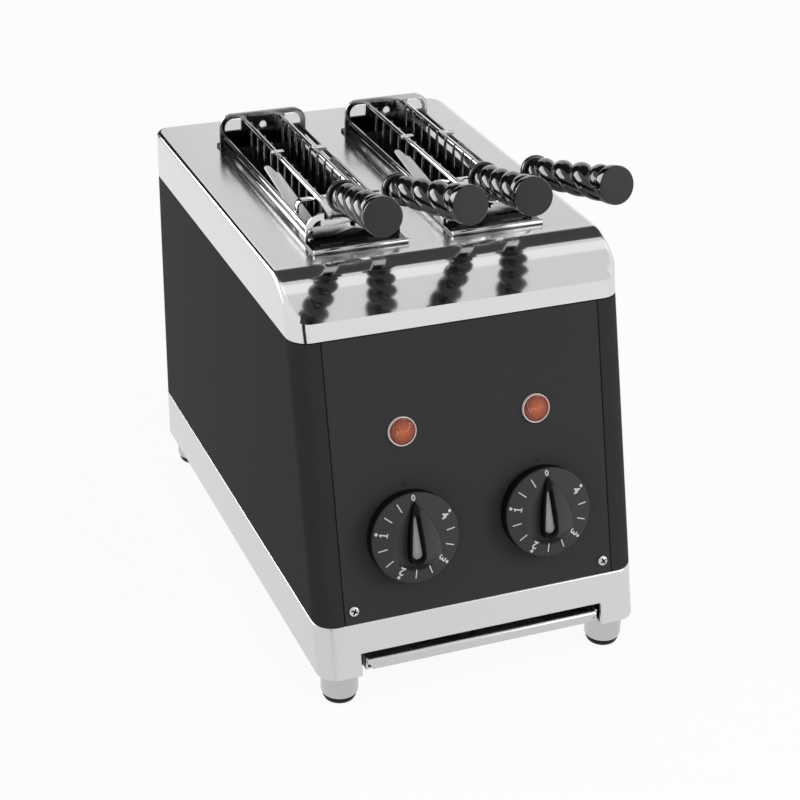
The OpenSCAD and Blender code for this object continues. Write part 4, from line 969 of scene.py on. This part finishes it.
def tang_shape(lift):
    """Strip over the rail that bends up to the handle, with a lug round the pivot."""
    bend = [(-4.5 - 6.5 * k / 8, 6.0 * (k / 8) ** 2) for k in range(9)]
    path = [(16, 0), (6, 0)] + bend + [(-17, 15.0), (-20.5, 20.0)]
    x, u, e = TANG_HALF, TANG_T / 2, TANG_EDGE
    section = ((-x + e, -u), (x - e, -u), (x, -u + e), (x, u - e), (x - e, u), (-x + e, u),
               (-x, u - e), (-x, -u + e))
    rings = []
    for k, (y, z) in enumerate(path):
        a, b = path[max(k - 1, 0)], path[min(k + 1, len(path) - 1)]
        way = Vector((0, b[0] - a[0], b[1] - a[1])).normalized()
        up = Vector((0, way.z, -way.y))
        rings.append([Vector((x, y, z + TANG_T / 2)) + up * u for x, u in section])
    strip = moved(loft(rings), Matrix.Translation((TANG_X, PIVOT_Y, TANG_Z))
                  @ Matrix.Rotation(SPLAY, 4, "Z"))
    lug_x, lug_y = TANG_X + 1, 4.4
    lug = plate([arc(0, 0, 5.5, 130, 230, 16) + [(3, -lug_y), (lug_x, -lug_y), (lug_x, lug_y),
                                                 (3, lug_y)]], TANG_T, 0.35)
    shapes = [strip, shifted(lug, 0, PIVOT_Y, TANG_Z + lift + TANG_T / 2)]
    if lift:
        shapes.append(box(TANG_X - 2.6, TANG_X + 0.4, PIVOT_Y - 4.3, PIVOT_Y + 4.3,
                          TANG_Z + 0.6, TANG_Z + lift + 2))
    return joined(*shapes)


def grid_shape(clip_out):
    """The rail with its clip, and the wires that hang from it."""
    low, x, hook = RAIL_Z - GRID_H, 10.1, RAIL_R + WIRE_R - 0.8
    rail = tube([(RAIL_X, y, RAIL_Z) for y in (PIVOT_Y + 3, 20, REAR_PLATE_Y - 1.6)], RAIL_R, 18)
    clip = plate([[(-3, -1.5), (clip_out, -1.5), (clip_out, 1.5), (-3, 1.5)]], 3.0, 0.5)
    clip = shifted(clip, RAIL_X, GRID_Y0 + 6.5 * WIRE_STEP, RAIL_Z + 2.05)
    wires = []
    for k in range(WIRE_COUNT):
        y = GRID_Y0 + k * WIRE_STEP
        path = [(x, y, low), (x, y, low + 60), (x, y, RAIL_Z - 6), (x - 0.2, y, RAIL_Z - 3)]
        path += [(px, y, pz) for px, pz in arc(RAIL_X, RAIL_Z, hook, 185, 155, 2)]
        wires.append(tube(path, WIRE_R, 10))
    foot = [(x + 0.6, y, low) for y in (GRID_Y0 - 2, 0, GRID_Y1 + 2)]
    return joined(rail, clip), joined(*wires, tube(foot, WIRE_R, 10))


def bridge_shape():
    """Arch under the rails and the strip from it to the pivot."""
    r, t, w, h = 4.0, BRIDGE_T, BRIDGE_HALF, BRIDGE_H - 0.3
    profile = ([(w, 0)] + arc(w - r, h - r, r, 0, 90) + arc(-w + r, h - r, r, 90, 180)
               + [(-w, 0), (-w + t, 0)] + arc(-w + r, h - r, r - t, 180, 90)
               + arc(w - r, h - r, r - t, 90, 0) + [(w - t, 0)])
    strip = plate([arc(0, PIVOT_Y, 4.7, 180, 360, 16) + [(4.5, BRIDGE_Y), (-4.5, BRIDGE_Y)]], t)
    return joined(standing(plate([profile], 5.0, 0.3), BRIDGE_Y, TOP_Z + 0.3),
                  shifted(strip, 0, 0, TOP_Z + BRIDGE_H - t / 2))


def guide_leaf():
    """Tapered leaf with a narrow finger, rising to the back."""
    root, w, length, finger, finger_w, rise = 9.0, 7.0, 58.0, 7.0, 3.85, 9.0
    shape = ([(0, 0), (0, length - 2)]
             + arc(-finger_w / 2 - 0.1, length + finger, finger_w / 2, 0, 180, 12)
             + arc(-w + 1.6, length - 1.6, 1.6, 90, 180, 8) + [(-root, 0)])
    spot = Matrix.Translation((BRIDGE_HALF - BRIDGE_T, BRIDGE_Y - 2.5, TOP_Z + 3.1))
    return moved(plate([shape], 1.2, 0.3),
                 spot @ Matrix.Rotation(math.atan(rise / length), 4, "X"))


def pivot_shape():
    low, high, r, head = RAIL_Z - 1.9, 274.2, 2.0, 4.5
    pin = revolve([(3.6, low), (4.3, low + 0.15), (head, low + 0.5), (head, TANG_Z - 0.5),
                   (4.2, TANG_Z - 0.3), (r, TANG_Z - 0.3), (r, high), (4.1, high),
                   (head, high + 0.4), (head, high + 0.9), (4.0, high + 1.5), (2.8, high + 1.85),
                   (1.2, high + 2.0)], 40)
    return shifted(pin, 0, PIVOT_Y, 0)


def spring_shape(lift):
    """Torsion spring above the lugs, with a leg to each side."""
    r, wire, pitch, turns, leg, steps = 2.9, 0.62, 1.8, 3, 12.0, 24
    z0 = TANG_Z + 2 * lift + 0.6
    coil = []
    for k in range(turns * steps + 1):
        t = 2 * math.pi * k / steps
        coil.append(Vector((r * math.sin(t), -r * math.cos(t), z0 + pitch * k / steps)))
    path = ([coil[0] + Vector((-leg, -0.9, 0)), coil[0] + Vector((-leg / 2, -0.45, 0))] + coil
            + [coil[-1] + Vector((leg / 2, -0.45, 0)), coil[-1] + Vector((leg, -0.9, 0))])
    return shifted(tube(path, wire), 0, PIVOT_Y, 0)


LUG_LIFT = 2.8
bridge, leaf, pivot, spring = bridge_shape(), guide_leaf(), pivot_shape(), spring_shape(LUG_LIFT)
grip = handle_grip()
grip_end = revolve([(10.02, 86.6), (9.9, 86.95), (9.6, 87.0), (5, 87.0)], 72)
for side, tong in ((-1, "left_tong"), (1, "right_tong")):
    def put(shape):
        return shifted(shape, side * SLOT_X, 0, 0)
    piece(tong + "_bridge", put(bridge), CHROME, tong, "chromed_wire")
    piece(tong + "_guides", put(mirrored(leaf)), LEAF, tong, "chromed_wire")
    piece(tong + "_right_guide", put(leaf), SHADED_WIRE, tong, "chromed_wire")
    piece(tong + "_pivot", put(pivot), SHADED_WIRE, tong, "bright_steel")
    piece(tong + "_spring", put(spring), SHADED_WIRE, tong, "bright_steel")
    for arm_side, hand, lift, clip_out in ((-1, "left", 0.0, 4.5), (1, "right", LUG_LIFT, 6.0)):
        name, body = tong + "_" + hand, tong + "_" + hand + "_arm"

        def arm(shape):
            return put(mirrored(shape) if arm_side < 0 else shape)
        rail, wires = grid_shape(clip_out)
        piece(name + "_grid", arm(rail), CHROME, body, "chromed_wire", sharp=60)
        piece(name + "_wires", arm(wires), SHADED_WIRE, body, "chromed_wire", sharp=60)
        piece(name + "_tang", arm(tang_shape(lift)), BRIGHT, body, "bright_steel")
        # Both handles twist the same way, so the left one is turned rather than mirrored
        piece(name + "_handle", put(moved(grip, handle_spot(arm_side))), PHENOLIC, body,
              "black_phenolic", sharp=75)
        piece(name + "_handle_end", arm(moved(grip_end, handle_spot(1))), END_CAP, body,
              "black_phenolic")


# Pieces inside, carried over from the CAD model

for finish, names in (
        (SHEET, ("bottom_plate", "grid_rests", "tray_runners")),
        (NEAR_BLACK, ("chamber_liner", "reflectors")),
        (QUARTZ, ("left_heater", "middle_heater", "right_heater")),
        (CERAMIC, ("heater_holders",)),
        (BRASS, ("left_timer_shaft", "right_timer_shaft")),
        (WHITE, ("left_timer", "right_timer", "left_lamp_body", "right_lamp_body",
                 "terminal_block"))):
    for name in names:
        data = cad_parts[name].data
        data.materials.clear()
        data.materials.append(finish)


# Floor, light and camera, in metres

def stage_plane(name, size, matrix, finish):
    mesh = bpy.data.meshes.new(name)
    x, y = size[0] / 2, size[1] / 2
    mesh.from_pydata([(-x, -y, 0), (x, -y, 0), (x, y, 0), (-x, y, 0)], [], [(0, 1, 2, 3)])
    mesh.materials.append(finish)
    obj = linked(name, mesh)
    obj.matrix_world = matrix
    return obj


def seen_straight(tree):
    """1 for rays from the camera and for rays that a mirror or glass sends on."""
    rays = tree.nodes.new("ShaderNodeLightPath")
    total = rays.outputs["Is Camera Ray"]
    for kind in ("Is Glossy Ray", "Is Transmission Ray"):
        step = tree.nodes.new("ShaderNodeMath")
        step.operation = "MAXIMUM"
        tree.links.new(total, step.inputs[0])
        tree.links.new(rays.outputs[kind], step.inputs[1])
        total = step.outputs[0]
    return total


def area_light(name, at, target, size, power):
    light = bpy.data.lights.new(name, "AREA")
    light.shape, light.size, light.size_y, light.energy = "RECTANGLE", *size, power
    obj = linked(name, light)
    way = Vector(target) - Vector(at)
    obj.matrix_world = Matrix.Translation(at) @ way.to_track_quat("-Z", "Y").to_matrix().to_4x4()
    return obj


# The floor is nearly white where it is seen, and lit by the lamps elsewhere
FLOOR_GLOW = 0.93
tree = FLOOR.node_tree
glow = tree.nodes.new("ShaderNodeEmission")
blend = tree.nodes.new("ShaderNodeMixShader")
for start, stop in ((ranged(tree, seen_straight(tree), 0, FLOOR_GLOW), blend.inputs["Fac"]),
                    (tree.nodes["Principled BSDF"].outputs[0], blend.inputs[1]),
                    (glow.outputs[0], blend.inputs[2]),
                    (blend.outputs[0], tree.nodes["Material Output"].inputs["Surface"])):
    tree.links.new(start, stop)
stage_plane("floor", (8, 8), Matrix.Identity(4), FLOOR)

area_light("top_light", at=(0.44, -0.02, 1.5), target=(0.44, -0.12, 0.24), size=(1.8, 0.3),
           power=0.5)
area_light("front_light", at=(1.3, -1.3, 0.9), target=(0, 0, 0.15), size=(0.9, 0.9), power=10)
glint = area_light("glint_light", at=(-0.88, 0.82, 0.66), target=(0, -0.15, 0.29),
                   size=(1.0, 0.7), power=15)
glint.visible_diffuse = False

# Dark cards that the polished steel mirrors, kept out of the camera's way
upright = Matrix.Rotation(math.pi / 2, 4, "X")
card_tilt = Matrix.Rotation(math.radians(-38), 4, "X")
flag_turn = Matrix.Rotation(math.radians(-21), 4, "Z")
for name, size, at, turn, finish in (
        ("dark_card", (1.7, 0.95), (0.46, 0.67, 1.274), card_tilt, CARD),
        ("dark_screen", (1.7, 1.3), (-0.65, 1.5, 0.75), upright, SCREEN),
        ("dark_flag", (0.34, 0.9), (-0.52, -1.25, 0.45), flag_turn @ upright, SCREEN)):
    stage_plane(name, size, Matrix.Translation(at) @ turn, finish).visible_camera = False

# The world is white where it is seen, and a little weaker as a light
WORLD_LIGHT, WORLD_SEEN = 0.8, 1.0
world = bpy.data.worlds.new("studio")
bpy.context.scene.world = world
world.use_nodes = True
tree = world.node_tree
back = tree.nodes["Background"]
back.inputs["Color"].default_value = (1, 1, 1, 1)
tree.links.new(ranged(tree, seen_straight(tree), WORLD_LIGHT, WORLD_SEEN), back.inputs["Strength"])

# Camera fitted to the photo
AZIMUTH, ELEVATION, ROLL = [math.radians(t) for t in (-21.99006, 27.49989, 1.0041285)]
DISTANCE, TARGET = 1.2199368, (0.004354924, (150 + FRONT) * MM, 0.111825966)
camera_data = bpy.data.cameras.new("camera")
camera_data.sensor_width, camera_data.lens = 36.0, 88.008
camera_data.clip_start, camera_data.clip_end = 0.05, 20
camera = linked("camera", camera_data)
turn = Matrix.Rotation(AZIMUTH, 4, "Z") @ Matrix.Rotation(math.pi / 2 - ELEVATION, 4, "X")
camera.matrix_world = (Matrix.Translation(TARGET) @ turn @ Matrix.Translation((0, 0, DISTANCE))
                       @ Matrix.Rotation(ROLL, 4, "Z"))
bpy.context.scene.camera = camera
bpy.context.scene.view_settings.view_transform = "Standard"
